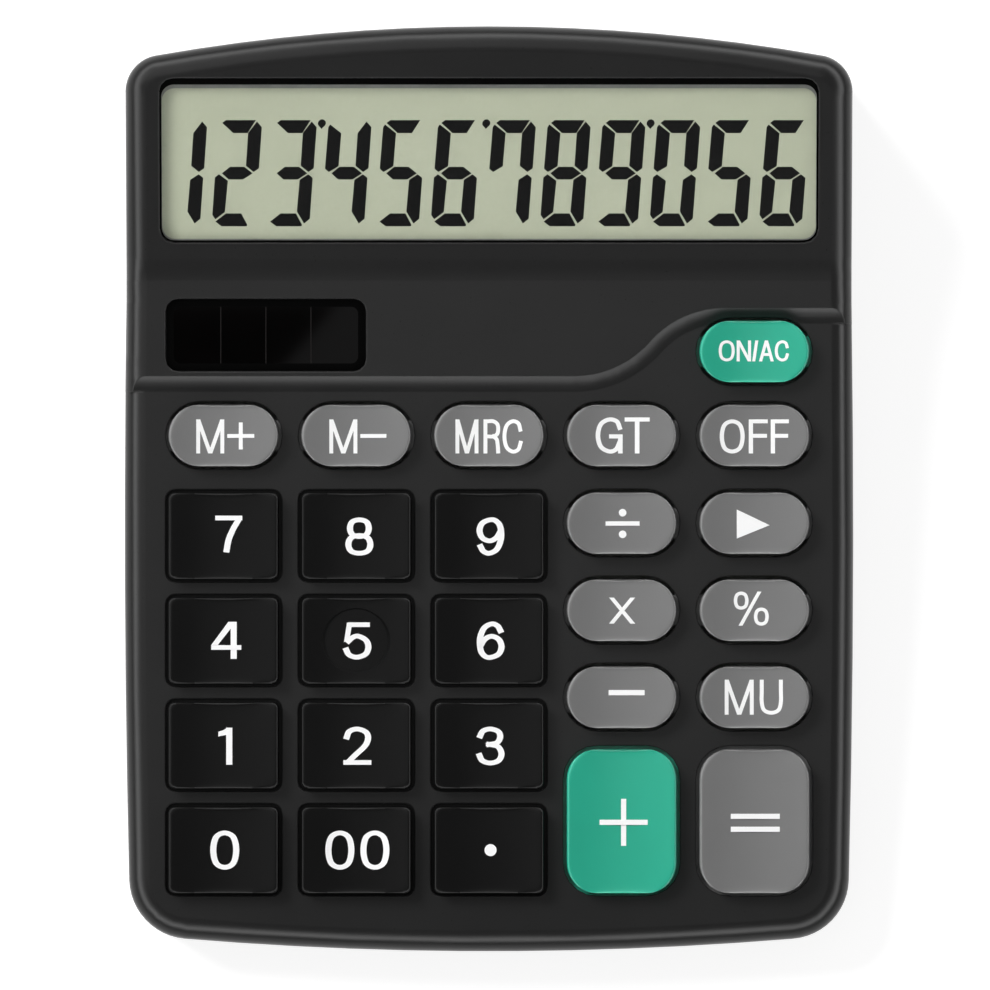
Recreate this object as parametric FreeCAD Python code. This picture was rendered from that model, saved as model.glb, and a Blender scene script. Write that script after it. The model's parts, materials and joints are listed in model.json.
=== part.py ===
import FreeCAD, Part
import math
import os

# Desk calculator: two moulded shells, twenty-six sprung keys, a display head, a solar strip and one AA cell.
# All sizes are in millimetres. The deck frame has X to the right, Y up the slope of the keypad from its front
# edge and Z square to the keypad. Row frame: the same origin with the slope of the deck added.

Vector = FreeCAD.Vector
X_AXIS = Vector(1, 0, 0)
Z_AXIS = Vector(0, 0, 1)

# Many-sided stand-ins, which keep the faces of what repeats few
rod_sides = 8
dome_sides = 6
corner_error = 0.1  # flats of a rounded corner, inside its true arc
over = 1.0  # cutters reach this far past what they cut

# Slopes
deck_slope = 7.0  # degrees, keypad above the table
head_slope = 12.0  # degrees, display above the keypad

# Key grid
column_count = 5
column_pitch = 21.8
number_pitch = 17.2
pill_pitch = 14.3
side_margin = 6.8  # outer key wells to the side of the case
front_margin = 9.2  # front key wells to the front of the case
tall_gap = 2.4  # tall wells to the pills behind them
memory_gap = 3.2  # number and pill wells to the memory row
clear_key_pitch = 13.8  # memory row to the ON key behind it

# Key wells and caps
well_width = 19.15
number_well_length = 15.2
number_well_radius = 1.55
pill_well_length = 11.2
tall_well_length = 24.7
tall_well_radius = 5.5
cap_gap = 0.55  # cap to well, each side
cap_height = 3.0  # cap top above the deck
cap_wall = 1.2
key_travel = 1.5
flange_overlap = 0.5  # flange under the deck, each side
flange_thickness = 0.85
flange_gap = 0.15  # flange to the underside of the deck
stem_reach = 0.5  # stem below the flange
stem_width = 4.0
dish_diameter = 10.7  # locating dish on the 5 key
dish_floor = 7.5
dish_depth = 0.3

# Case
wall = 2.0
front_height = 12.8  # front edge of the deck above the underside
parting_depth = 7.5  # deck to the parting plane
front_radius = 10.0
rear_radius = 6.0
front_arc_radius = 611.0  # bow of the front edge
rear_arc_radius = 318.0  # bow of the rear edge
side_arc_radius = 2300.0  # bow of the sides of the keypad
head_taper = 0.3  # the head is this much narrower, each side
widest_share = 0.62  # widest place of the keypad, from the front to the crease
top_edge = 3.5  # rounding along the upper rim
bottom_edge = 2.0  # bevel along the lower rim
groove_depth = 0.35  # shadow line at the parting plane
groove_height = 0.5
tongue_height = 1.6
tongue_thickness = 0.8
tongue_gap = 0.1

# Raised deck with the wave in front of it
step_height = 0.8
cove_width = 2.6
cove_sag = 0.14
ridge_gap = 4.2  # memory wells to the ridge on the left
wave_gap = 1.6  # ON well to the ridge on the right
wave_half_width = 12.35
wave_setback = 17.2  # middle of the wave left of the last column

# Solar strip
solar_gap = 0.7  # ridge to the solar pocket
solar_width = 33.0
solar_length = 12.0
solar_radius = 2.1
solar_border = 1.35  # ledge round the aperture
solar_pocket_depth = 1.6
solar_window_thickness = 0.8
solar_cell_thickness = 1.1
solar_cell_gap = 0.3  # cell inside the outline of the pocket
solar_lead_share = 0.4  # leads from the middle, as a share of the width
solar_aperture_radius = 0.6
solar_crease_gap = 4.7  # solar pocket to the crease
plate_gap = 0.2  # clear plates and the glass to their pockets

# Display
crease_radius = 17.0
window_side = 5.9  # window to the side of the case
window_front = 4.5  # crease to window, along the head
window_length = 27.5
window_radius = 2.3
window_rear = 8.8  # window to the rear edge
window_rear_gap = 1.2  # plate to the rear edge of its hole
window_thickness = 1.2
glass_side = 0.8  # glass behind the wall, beside the window
glass_front = 1.6
glass_rear = 0.6
glass_thickness = 2.2
reflector_thickness = 0.3
holder_thickness = 1.5
holder_rim = 5.0
holder_gap = 0.1
ear_radius = 2.4
ear_x = 36.0
hook_x = 25.0
hook_width = 8.0
hook_thickness = 1.5
hook_overlap = 0.8  # hooks under the rear of the holder
ribbon_width = 48.0
ribbon_thickness = 0.2
ribbon_bond = 2.5
ribbon_reach = 4.5  # run ahead of the glass before the bend
ribbon_bend = 1.5
ribbon_setback = 1.0  # rear of the board to the bond

# Board, mat and contacts
board_thickness = 1.6
board_side_gap = 0.4
board_setback = 4.2  # rear of the board to the crease
board_screw_inset = 1.2
board_corner = 1.0
mat_thickness = 1.0
dome_base = 4.4
dome_top = 2.6
dome_wall = 0.6
pill_radius = 2.2
pill_thickness = 0.4
pad_thickness = 1.6  # solid pad at the top of each dome
chip_width = 14.0
chip_thickness = 1.4

# Screws
screw_radius = 1.1
screw_head_radius = 2.3
screw_head_height = 1.5
screw_grip = 2.9  # head seat to the foot of the upper boss
screw_engagement = 4.5
boss_radius = 2.4
boss_depth = 9.0  # deck to the foot of the upper bosses
column_radius = 3.75
small_screw_radius = 0.9
small_head_radius = 1.7
small_head_height = 1.2
small_boss_radius = 1.65
small_engagement = 3.5
holder_engagement = 2.0
screw_clearance = 0.25
thread_gap = 0.02
front_screw_x = 45.0
middle_screw_x = 48.0
rear_screw_x = 40.0
middle_screw_setback = 0.4  # middle screws to the crease
rear_screw_overlap = 0.5  # rear columns into the rear wall
pilot_gap = 0.3  # screw tip to the end of its hole

# Battery bay
cell_radius = 7.25
cell_length = 49.2
nub_radius = 2.7
nub_length = 1.3
cell_setback = 9.2  # cell axis to the rear edge, along the table
cell_gap = 0.3
contact_thickness = 0.4
spring_depth = 3.0
leaf_low_share = 0.7  # fold of the leaf below the axis, in cell radii
leaf_high_share = 0.6  # tip of the leaf above the axis, in cell radii
leaf_tip_gap = 1.0
leaf_bend = 0.5
bay_wall = 1.5
bay_gap = 1.0  # cell to the front wall of its bay
rail_width = 1.2  # rails under the contacts, beside the mouth
rail_height = 3.4
rail_ledge = 0.9
door_thickness = 1.8
door_gap = 0.2
door_lip = 9.0
door_tongue = 1.1
grip_count = 5
grip_pitch = 1.6
grip_depth = 0.5
grip_width = 16.0
grip_setback = 4.0
tab_width = 6.0
tab_reach = 2.5
tab_gap = 0.1
lead_width = 1.6
lead_thickness = 0.6
lead_bend = 3.0
lead_rise = 6.0
lead_bond = 3.0
lead_gap = 0.15

# Feet
foot_width = 16.0
foot_length = 8.0
foot_height = 1.2
foot_recess = 0.6
foot_x = 48.0
foot_front = 24.0  # front of the case to the front pads
foot_rear = 20.0  # rear of the case to the rear pads
foot_gap = 0.1

# Places worked out from the sizes above
slope = math.radians(deck_slope)
tilt = math.radians(head_slope)
body_width = (column_count - 1) * column_pitch + well_width + 2 * side_margin
half_width = body_width / 2
column_x = [(i - (column_count - 1) / 2) * column_pitch for i in range(column_count)]
number_y = [front_margin + number_well_length / 2 + i * number_pitch for i in range(4)]
tall_y = front_margin + tall_well_length / 2
first_pill_y = front_margin + tall_well_length + tall_gap + pill_well_length / 2
pill_y = [first_pill_y + i * pill_pitch for i in range(3)]
stack_end = max(number_y[-1] + number_well_length / 2, pill_y[-1] + pill_well_length / 2)
memory_y = stack_end + memory_gap + pill_well_length / 2
clear_key_y = memory_y + clear_key_pitch
ridge_left = memory_y + pill_well_length / 2 + ridge_gap
ridge_right = clear_key_y + pill_well_length / 2 + wave_gap
solar_x = column_x[0] - well_width / 2 + solar_width / 2
solar_y = ridge_left + solar_gap + solar_length / 2
crease_y = solar_y + solar_length / 2 + solar_crease_gap
head_length = window_front + window_length + window_rear
body_length = crease_y + head_length * math.cos(tilt)
window_width = body_width - 2 * window_side
reach = body_width  # well past the sides of the case
deep = body_length  # well below the underside
flange_top = -wall - flange_gap
flange_low = flange_top - flange_thickness
stem_low = flange_low - stem_reach
board_depth = pad_thickness + pill_thickness + key_travel - stem_low
board_rear = crease_y - board_setback
mat_front = front_margin - flange_overlap
mat_half = column_x[-1] + well_width / 2 + flange_overlap
front_taper = (crease_y * widest_share) ** 2 / (2 * side_arc_radius)
board_half = half_width - front_taper - wall - board_side_gap
board_screw_x = board_half - board_screw_inset
board_screw_y = [number_y[0] + number_pitch / 2, memory_y]
boss_plane = -boss_depth
front_screw_y = front_screw_x ** 2 / (2 * front_arc_radius) + wall + boss_radius
middle_screw_y = crease_y - middle_screw_setback
rear_wall_y = body_length - rear_screw_x ** 2 / (2 * rear_arc_radius) - wall
rear_screw_y = rear_wall_y - column_radius + rear_screw_overlap
underside = -front_height
head_x = half_width - head_taper
far_rear = body_length + reach  # well past the rear of the case


# Small builders

def box(x0, x1, y0, y1, z0, z1):
    return Part.makeBox(x1 - x0, y1 - y0, z1 - z0, Vector(x0, y0, z0))


def ring_points(sides, radius, height):
    turn = 2 * math.pi / sides
    angles = [turn * (i + 0.5) for i in range(sides)]
    return [Vector(radius * math.cos(a), radius * math.sin(a), height) for a in angles]


def frustum(sides, low_radius, high_radius, low, high):
    """A many-sided stand-in for a cone or rod, which keeps the faces of repeated hidden features few."""
    lower = ring_points(sides, low_radius, low)
    upper = ring_points(sides, high_radius, high)
    faces = [Part.Face(Part.makePolygon(ring + ring[:1])) for ring in (lower, upper)]
    for i in range(sides):
        j = (i + 1) % sides
        corners = [lower[i], lower[j], upper[j], upper[i], lower[i]]
        faces.append(Part.Face(Part.makePolygon(corners)))
    return Part.Solid(Part.Shell(faces))


def rod(x, y, radius, low, high):
    return moved(frustum(rod_sides, radius, radius, low, high), x, y, 0)


def moved(shape, x, y, z):
    copy = shape.copy()
    copy.translate(Vector(x, y, z))
    return copy


def turned(shape, degrees):
    copy = shape.copy()
    copy.rotate(Vector(0, 0, 0), X_AXIS, degrees)
    return copy


def sloped(shape):
    """From the deck frame to the row frame."""
    return turned(shape, deck_slope)


def on_head(shape):
    """From the display frame, with Y up the head from the crease, to the deck frame."""
    return moved(turned(shape, head_slope), 0, crease_y, step_height)


def line(a, b):
    return Part.LineSegment(a, b).toShape()


def arc(a, b, c):
    return Part.Arc(a, b, c).toShape()


def rounded_face(width, length, radius):
    """A rectangle with round corners, centred on the origin; a radius of half its length gives a pill."""
    steps = math.ceil(math.pi / 4 / math.acos(1 - corner_error / radius))
    corners = ((1, 1), (-1, 1), (-1, -1), (1, -1))
    points = []
    for quarter, (side, end) in enumerate(corners):
        centre = Vector(side * (width / 2 - radius), end * (length / 2 - radius), 0)
        for i in range(steps + 1):
            angle = (quarter + i / steps) * math.pi / 2
            point = centre + Vector(radius * math.cos(angle), radius * math.sin(angle), 0)
            if not points or point.distanceToPoint(points[-1]) > corner_error:
                points.append(point)
    if points[-1].distanceToPoint(points[0]) < corner_error:
        points.pop()
    return Part.Face(Part.makePolygon(points + points[:1]))


def rounded_plate(width, length, radius, low, high):
    face = moved(rounded_face(width, length, radius), 0, 0, low)
    return face.extrude(Vector(0, 0, high - low))


def rounded_path(points, radius):
    """Straight runs joined by tangent arcs."""
    edges = []
    start = points[0]
    for before, corner, after in zip(points, points[1:], points[2:]):
        back = (before - corner).normalize()
        ahead = (after - corner).normalize()
        half = back.getAngle(ahead) / 2
        setback = radius / math.tan(half)
        inward = (back + ahead).normalize()
        middle = corner + inward * (radius / math.sin(half) - radius)
        enter = corner + back * setback
        leave = corner + ahead * setback
        edges.append(line(start, enter))
        edges.append(arc(enter, middle, leave))
        start = leave
    edges.append(line(start, points[-1]))
    return Part.Wire(edges)


def strip(points, radius, width, thickness):
    """A flat strip of the given width along X, bent along points in the YZ plane."""
    path = rounded_path(points, radius)
    along = (points[1] - points[0]).normalize()
    side = along.cross(X_AXIS).normalize() * (thickness / 2)
    half = X_AXIS * (width / 2)
    ring = [points[0] + offset for offset in (side + half, side - half, -side - half, -side + half)]
    section = Part.makePolygon(ring + ring[:1])
    return path.makePipeShell([section], True, False)


# Case outline and profile

def circles_meet(first, first_radius, second, second_radius):
    """Where two circles of the plan cross at the front right."""
    gap = second - first
    along = (first_radius ** 2 - second_radius ** 2 + gap.Length ** 2) / (2 * gap.Length)
    across = math.sqrt(first_radius ** 2 - along ** 2)
    ahead = gap * (1 / gap.Length)
    side = Vector(-ahead.y, ahead.x, 0)
    places = [first + ahead * along + side * across, first + ahead * along - side * across]
    return min((p for p in places if p.x > 0), key=lambda p: p.y)


def behind(centre, radius, x):
    """The rear point of a circle of the plan at the given x."""
    return Vector(x, centre.y + math.sqrt(radius ** 2 - (x - centre.x) ** 2), 0)


front_centre = Vector(0, front_arc_radius, 0)
rear_centre = Vector(0, body_length - rear_arc_radius, 0)
side_centre = Vector(half_width - side_arc_radius, crease_y * widest_share, 0)
front_corner = circles_meet(
    front_centre, front_arc_radius - front_radius, side_centre, side_arc_radius - front_radius
)
rear_corner = behind(rear_centre, rear_arc_radius - rear_radius, head_x - rear_radius)


def on_circle(centre, radius, towards):
    return centre + (towards - centre).normalize() * radius


def arc_between(centre, radius, start, end):
    return arc(start, on_circle(centre, radius, (start + end) * 0.5), end)


def outline_prism(inset, low, high, open_rear=False):
    """The plan of the case, drawn in by inset, between two heights; an open rear runs straight on."""
    front_end = on_circle(front_centre, front_arc_radius - inset, front_corner)
    side_start = on_circle(side_centre, side_arc_radius - inset, front_corner)
    waist = behind(side_centre, side_arc_radius - inset, head_x - inset)
    right = [
        arc_between(front_corner, front_radius - inset, front_end, side_start),
        arc_between(side_centre, side_arc_radius - inset, side_start, waist),
    ]
    front = arc(Vector(-front_end.x, front_end.y, 0), Vector(0, inset, 0), front_end)
    if open_rear:
        end = Vector(waist.x, far_rear, 0)
        right.append(line(waist, end))
        rear = line(end, Vector(-end.x, end.y, 0))
    else:
        head_end = Vector(waist.x, rear_corner.y, 0)
        rear_start = on_circle(rear_centre, rear_arc_radius - inset, rear_corner)
        right.append(line(waist, head_end))
        right.append(arc_between(rear_corner, rear_radius - inset, head_end, rear_start))
        rear = arc(rear_start, Vector(0, body_length - inset, 0), Vector(-rear_start.x, rear_start.y, 0))
    left = [edge.mirror(Vector(0, 0, 0), X_AXIS) for edge in right]
    edges = Part.sortEdges([front, rear] + right + left)[0]
    face = moved(Part.Face(Part.Wire(edges)), 0, 0, low)
    return face.extrude(Vector(0, 0, high - low))


def side_profile(lift, inset, low):
    """Everything under the deck, the crease and the display face, drawn down by inset."""
    corner_y = crease_y + inset * math.tan(tilt / 2)
    corner_z = lift - inset
    radius = crease_radius + inset
    run = radius * math.tan(tilt / 2)
    enter = Vector(-reach, corner_y - run, corner_z)
    leave = Vector(-reach, corner_y + run * math.cos(tilt), corner_z + run * math.sin(tilt))
    bend_y = corner_y - run + radius * math.sin(tilt / 2)
    bend_z = corner_z + radius - radius * math.cos(tilt / 2)
    front_low = Vector(-reach, -reach, low)
    front_high = Vector(-reach, -reach, corner_z)
    rear_high = Vector(-reach, far_rear, corner_z + (far_rear - corner_y) * math.tan(tilt))
    rear_low = Vector(-reach, far_rear, low)
    edges = [
        line(front_low, front_high),
        line(front_high, enter),
        arc(enter, Vector(-reach, bend_y, bend_z), leave),
        line(leave, rear_high),
        line(rear_high, rear_low),
        line(rear_low, front_low),
    ]
    return Part.Face(Part.Wire(edges)).extrude(Vector(2 * reach, 0, 0))


def rim_edges(solid, low):
    """The edges that run round the top of the case."""
    chosen = []
    for edge in solid.Edges:
        first, last = edge.ParameterRange
        points = [edge.valueAt(first + (last - first) * share) for share in (0, 0.5, 1)]
        level = max(p.y for p in points) - min(p.y for p in points) < 1e-6
        upright = abs(points[0].z - points[2].z) > 1e-6 and abs(points[0].y - points[2].y) < 1e-6
        if level or upright or min(p.z for p in points) < low + 1e-6:
            continue
        chosen.append(edge)
    return chosen


def head_cone():
    """The rear wall: a cone square to the display face, so that its rim rounds to a plain torus while its
    middle stands square to the deck."""
    radius = rear_arc_radius * math.cos(tilt)
    spread = head_length * math.tan(tilt)
    foot = Vector(0, head_length - radius, -head_length)
    return on_head(Part.makeCone(radius - spread, radius + spread, 2 * head_length, foot, Z_AXIS))


def rear_edges(solid):
    """The two upright edges where the sides of the head meet its rear wall."""
    rear = [e for e in solid.Edges if min(v.Y for v in e.Vertexes) > rear_corner.y]
    return [e for e in rear if abs(e.Vertexes[0].Z - e.Vertexes[-1].Z) > parting_depth]


def case_body(lift):
    """The outer form with a flat deck at the given lift, rounded at the rear corners and along its rim."""
    low = -parting_depth
    block = outline_prism(0, low, head_length, True)
    body = block.common(side_profile(lift, 0, low - over)).common(head_cone()).Solids[0]
    body = body.makeFillet(rear_radius, rear_edges(body)).Solids[0]
    return body.makeFillet(top_edge, rim_edges(body, low)).Solids[0]


def ridge_path(height):
    middle_x = column_x[-1] - wave_setback
    rise = ridge_right - ridge_left
    middle_y = ridge_left + rise / 2
    radius = (wave_half_width ** 2 + (rise / 2) ** 2) / rise
    turn = math.asin(wave_half_width / radius)
    start = Vector(middle_x - wave_half_width, ridge_left, height)
    middle = Vector(middle_x, middle_y, height)
    end = Vector(middle_x + wave_half_width, ridge_right, height)
    first_bend = start + Vector(radius * math.sin(turn / 2), radius * (1 - math.cos(turn / 2)), 0)
    last_bend = end - Vector(radius * math.sin(turn / 2), radius * (1 - math.cos(turn / 2)), 0)
    return [
        line(Vector(-reach, ridge_left, height), start),
        arc(start, first_bend, middle),
        arc(middle, last_bend, end),
        line(end, Vector(reach, ridge_right, height)),
    ]


def raised_region():
    """All that lies behind the ridge, with the hollow cove that runs down to the keypad."""
    low = -parting_depth - over
    edges = ridge_path(low)
    corner = Vector(reach, far_rear, low)
    other = Vector(-reach, far_rear, low)
    edges.append(line(edges[-1].Vertexes[-1].Point, corner))
    edges.append(line(corner, other))
    edges.append(line(other, Vector(-reach, ridge_left, low)))
    rear = Part.Face(Part.Wire(edges)).extrude(Vector(0, 0, deep))
    foot = Vector(-reach, ridge_left - cove_width, 0)
    ridge = Vector(-reach, ridge_left, step_height)
    hollow = Vector(-reach, ridge_left - cove_width / 2, step_height / 2 - cove_sag)
    deep_foot = Vector(-reach, foot.y, low)
    deep_ridge = Vector(-reach, ridge.y, low)
    section = Part.Wire([
        line(deep_ridge, deep_foot),
        line(deep_foot, foot),
        arc(foot, hollow, ridge),
        line(ridge, deep_ridge),
    ])
    cove = Part.Wire(ridge_path(0)).makePipeShell([section], True, False)
    return rear.fuse(cove).Solids[0]


# Keys: name, column, place up the deck and kind of well

def key_list():
    keys = []
    number_rows = (("0", "00", "point"), ("1", "2", "3"), ("4", "5", "6"), ("7", "8", "9"))
    for row, names in enumerate(number_rows):
        for column, name in enumerate(names):
            keys.append((name, column_x[column], number_y[row], "number"))
    for row, name in enumerate(("minus", "times", "divide")):
        keys.append((name, column_x[3], pill_y[row], "pill"))
    for row, name in enumerate(("mark_up", "percent", "backspace")):
        keys.append((name, column_x[4], pill_y[row], "pill"))
    for column, name in enumerate(("m_plus", "m_minus", "memory_recall", "grand_total", "off")):
        keys.append((name, column_x[column], memory_y, "pill"))
    keys.append(("on_clear", column_x[4], clear_key_y, "pill"))
    keys.append(("plus", column_x[3], tall_y, "tall"))
    keys.append(("equals", column_x[4], tall_y, "tall"))
    return keys


well_sizes = {
    "number": (well_width, number_well_length, number_well_radius),
    "pill": (well_width, pill_well_length, pill_well_length / 2),
    "tall": (well_width, tall_well_length, tall_well_radius),
}


def key_blank(kind):
    """One hollow cap with its retaining flange and its stem."""
    width, length, radius = well_sizes[kind]
    cap_width = width - 2 * cap_gap
    cap_length = length - 2 * cap_gap
    cap = rounded_plate(cap_width, cap_length, radius - cap_gap, flange_low, cap_height)
    lug = length / 2 if kind == "pill" else length + 2 * flange_overlap
    flange = Part.makeBox(
        width + 2 * flange_overlap,
        lug,
        flange_thickness,
        Vector(-width / 2 - flange_overlap, -lug / 2, flange_low),
    )
    hollow_width = cap_width - 2 * cap_wall - (cap_length / 2 if kind == "pill" else 0)
    hollow_length = cap_length - 2 * cap_wall
    roof = cap_height - cap_wall - dish_depth
    hollow = box(-hollow_width / 2, hollow_width / 2, -hollow_length / 2, hollow_length / 2, flange_low, roof)
    half = stem_width / 2
    stem = box(-half, half, -half, half, stem_low, roof)
    return cap.fuse(flange).cut(hollow).fuse(stem).removeSplitter()


def dished(cap):
    """The shallow round dish that marks the middle key."""
    low = cap_height - dish_depth
    return cap.cut(frustum(3 * rod_sides, dish_floor / 2, dish_diameter / 2, low, cap_height))


def key_parts():
    blanks = {kind: key_blank(kind) for kind in well_sizes}
    parts = {}
    for name, x, y, kind in key_list():
        blank = dished(blanks[kind]) if name == "5" else blanks[kind]
        parts["key_" + name] = moved(blank, x, y, 0)
    return parts


def key_wells():
    wells = []
    for name, x, y, kind in key_list():
        wells.append(moved(rounded_plate(*well_sizes[kind], -wall - over, cap_height), x, y, 0))
    return wells


# Display stack, in the display frame

glass_top = -wall
glass_low = glass_top - glass_thickness
reflector_low = glass_low - reflector_thickness
holder_low = reflector_low - holder_thickness
window_end = window_front + window_length
window_middle = window_front + window_length / 2
glass_width = window_width + 2 * glass_side
holder_front = window_front + holder_gap
holder_end = window_end + glass_rear - 2 * holder_gap


def display_window():
    width = window_width - 2 * plate_gap
    length = window_length - window_rear_gap - plate_gap
    plate = rounded_plate(width, length, window_radius - plate_gap, glass_top, glass_top + window_thickness)
    return on_head(moved(plate, 0, window_front + plate_gap + length / 2, 0))


def lcd_panel():
    front = window_front - glass_front
    end = window_end + glass_rear
    return on_head(box(-glass_width / 2, glass_width / 2, front, end, glass_low, glass_top))


def lcd_reflector():
    half = glass_width / 2
    return on_head(box(-half, half, holder_front, holder_end, reflector_low, glass_low))


def lcd_holder():
    half = glass_width / 2
    frame = box(-half, half, holder_front, holder_end, holder_low, reflector_low)
    frame = frame.cut(
        box(-half + holder_rim, half - holder_rim, holder_front + holder_rim, holder_end - holder_rim,
            holder_low - over, reflector_low + over)
    )
    for side in (-1, 1):
        x = side * ear_x
        ear = rod(x, 0, ear_radius, holder_low, reflector_low)
        neck = box(x - ear_radius, x + ear_radius, 0, holder_front + over, holder_low, reflector_low)
        frame = frame.fuse(ear).fuse(neck)
        bore = small_screw_radius + screw_clearance
        frame = frame.cut(rod(x, 0, bore, holder_low - over, reflector_low + over))
    return on_head(frame.removeSplitter())


def small_screw(x, y, seat, length):
    """A pan-head screw driven upwards, with its head under the seat."""
    head = rod(x, y, small_head_radius, seat - small_head_height, seat)
    return head.fuse(rod(x, y, small_screw_radius - thread_gap, seat, seat + length)).removeSplitter()


def holder_screws():
    length = holder_thickness + holder_engagement
    return on_head(Part.makeCompound([small_screw(side * ear_x, 0, holder_low, length) for side in (-1, 1)]))


def head_point(y, z):
    """A point of the display frame, in the deck frame."""
    return on_head(Part.Vertex(0, y, z)).Point


def lcd_ribbon():
    """Flat cable from under the front of the glass to the rear of the board."""
    half = ribbon_thickness / 2
    bond = head_point(window_front, glass_low - half)
    ahead = head_point(window_front - ribbon_reach, glass_low - half)
    land = Vector(0, board_rear - ribbon_setback, -board_depth + half)
    end = land - Vector(0, ribbon_bond, 0)
    return strip([bond, ahead, land, end], ribbon_bend, ribbon_width, ribbon_thickness)


# Solar strip

def solar_window():
    low = step_height - solar_pocket_depth
    plate = rounded_plate(
        solar_width - 2 * plate_gap,
        solar_length - 2 * plate_gap,
        solar_radius - plate_gap,
        low,
        low + solar_window_thickness,
    )
    return moved(plate, solar_x, solar_y, 0)


def solar_cell():
    half_x = solar_width / 2 - solar_cell_gap
    half_y = solar_length / 2 - solar_cell_gap
    low = -wall - solar_cell_thickness
    return moved(box(-half_x, half_x, -half_y, half_y, low, -wall), solar_x, solar_y, 0)


def solar_leads():
    low = -board_depth
    high = -wall - solar_cell_thickness
    offset = solar_width * solar_lead_share
    return Part.makeCompound([
        rod(solar_x + side * offset, solar_y, lead_thickness, low, high) for side in (-1, 1)
    ])


# Board, mat and contacts

def circuit_board():
    low = -board_depth - board_thickness
    board = box(-board_half, board_half, mat_front, board_rear, low, -board_depth)
    corners = [e for e in board.Edges if abs(e.Vertexes[0].Z - e.Vertexes[-1].Z) > board_thickness / 2]
    board = board.makeChamfer(board_corner, corners)
    for x, y in board_screw_places():
        bore = small_screw_radius + screw_clearance
        board = board.cut(rod(x, y, bore, low - over, -board_depth + over))
    return board


def board_screw_places():
    return [(side * board_screw_x, y) for side in (-1, 1) for y in board_screw_y]


def board_screws():
    seat = -board_depth - board_thickness
    length = board_thickness + small_engagement
    return Part.makeCompound([small_screw(x, y, seat, length) for x, y in board_screw_places()])


def controller_chip():
    high = -board_depth - board_thickness
    half = chip_width / 2
    y = number_y[2]
    return box(-half, half, y - half, y + half, high - chip_thickness, high)


def key_mat():
    low = -board_depth
    high = low + mat_thickness
    rear = memory_y + pill_well_length / 2 + flange_overlap
    clear_rear = clear_key_y + pill_well_length / 2 + flange_overlap
    clear_left = column_x[4] - well_width / 2 - flange_overlap
    mat = box(-mat_half, mat_half, mat_front, rear, low, high)
    mat = mat.fuse(box(clear_left, mat_half, mat_front, clear_rear, low, high)).removeSplitter()
    dome = frustum(dome_sides, dome_base, dome_top, high, stem_low)
    pad_low = stem_low - pad_thickness
    hollow = frustum(dome_sides, dome_base - dome_wall, dome_top - dome_wall / 4, low, pad_low)
    domes = [moved(dome, x, y, 0) for name, x, y, kind in key_list()]
    hollows = [moved(hollow, x, y, 0) for name, x, y, kind in key_list()]
    return mat.multiFuse(domes).cut(Part.makeCompound(hollows)).removeSplitter()


def contact_pills():
    high = stem_low - pad_thickness
    pill = frustum(dome_sides, pill_radius, pill_radius, high - pill_thickness, high)
    return Part.makeCompound([moved(pill, x, y, 0) for name, x, y, kind in key_list()])


# Shells

def case_screw_places():
    places = []
    for side in (-1, 1):
        places.append((side * front_screw_x, front_screw_y))
        places.append((side * middle_screw_x, middle_screw_y))
        places.append((side * rear_screw_x, rear_screw_y))
    return places


def case_screws():
    seat = boss_plane - screw_grip
    screws = []
    for x, y in case_screw_places():
        head = rod(x, y, screw_head_radius, seat - screw_head_height, seat)
        shank = rod(x, y, screw_radius - thread_gap, seat, boss_plane + screw_engagement)
        screws.append(head.fuse(shank).removeSplitter())
    return Part.makeCompound(screws)


def upper_bosses(outer):
    """Screw bosses, board bosses, ear bosses and the hooks behind the display, trimmed to the outer form."""
    bosses = []
    for x, y in case_screw_places():
        bosses.append(rod(x, y, boss_radius, boss_plane, -wall / 4 if y < rear_screw_y else 0))
    for side in (-1, 1):
        x = side * rear_screw_x
        half = boss_radius / 2
        bosses.append(box(x - half, x + half, rear_screw_y, body_length, -parting_depth, 0))
    for x, y in board_screw_places():
        bosses.append(rod(x, y, small_boss_radius, -board_depth, -wall / 2))
    for side in (-1, 1):
        x = side * ear_x
        bosses.append(on_head(rod(x, 0, small_boss_radius, reflector_low, -wall / 2)))
        hook = box(side * hook_x - hook_width / 2, side * hook_x + hook_width / 2,
                   holder_end - hook_overlap, head_length, holder_low - hook_thickness, holder_low)
        bosses.append(on_head(hook))
    below = outer.fuse(outline_prism(wall, boss_plane - over, -parting_depth + over))
    return [boss.common(below) for boss in bosses]


def pilot_holes():
    holes = []
    for x, y in case_screw_places():
        holes.append(rod(x, y, screw_radius, boss_plane - over, boss_plane + screw_engagement + pilot_gap))
    for x, y in board_screw_places():
        top = -board_depth + small_engagement + pilot_gap
        holes.append(rod(x, y, small_screw_radius, -board_depth - over, top))
    for side in (-1, 1):
        top = reflector_low + holder_engagement + pilot_gap
        holes.append(on_head(rod(side * ear_x, 0, small_screw_radius, reflector_low - over, top)))
    return holes


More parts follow.
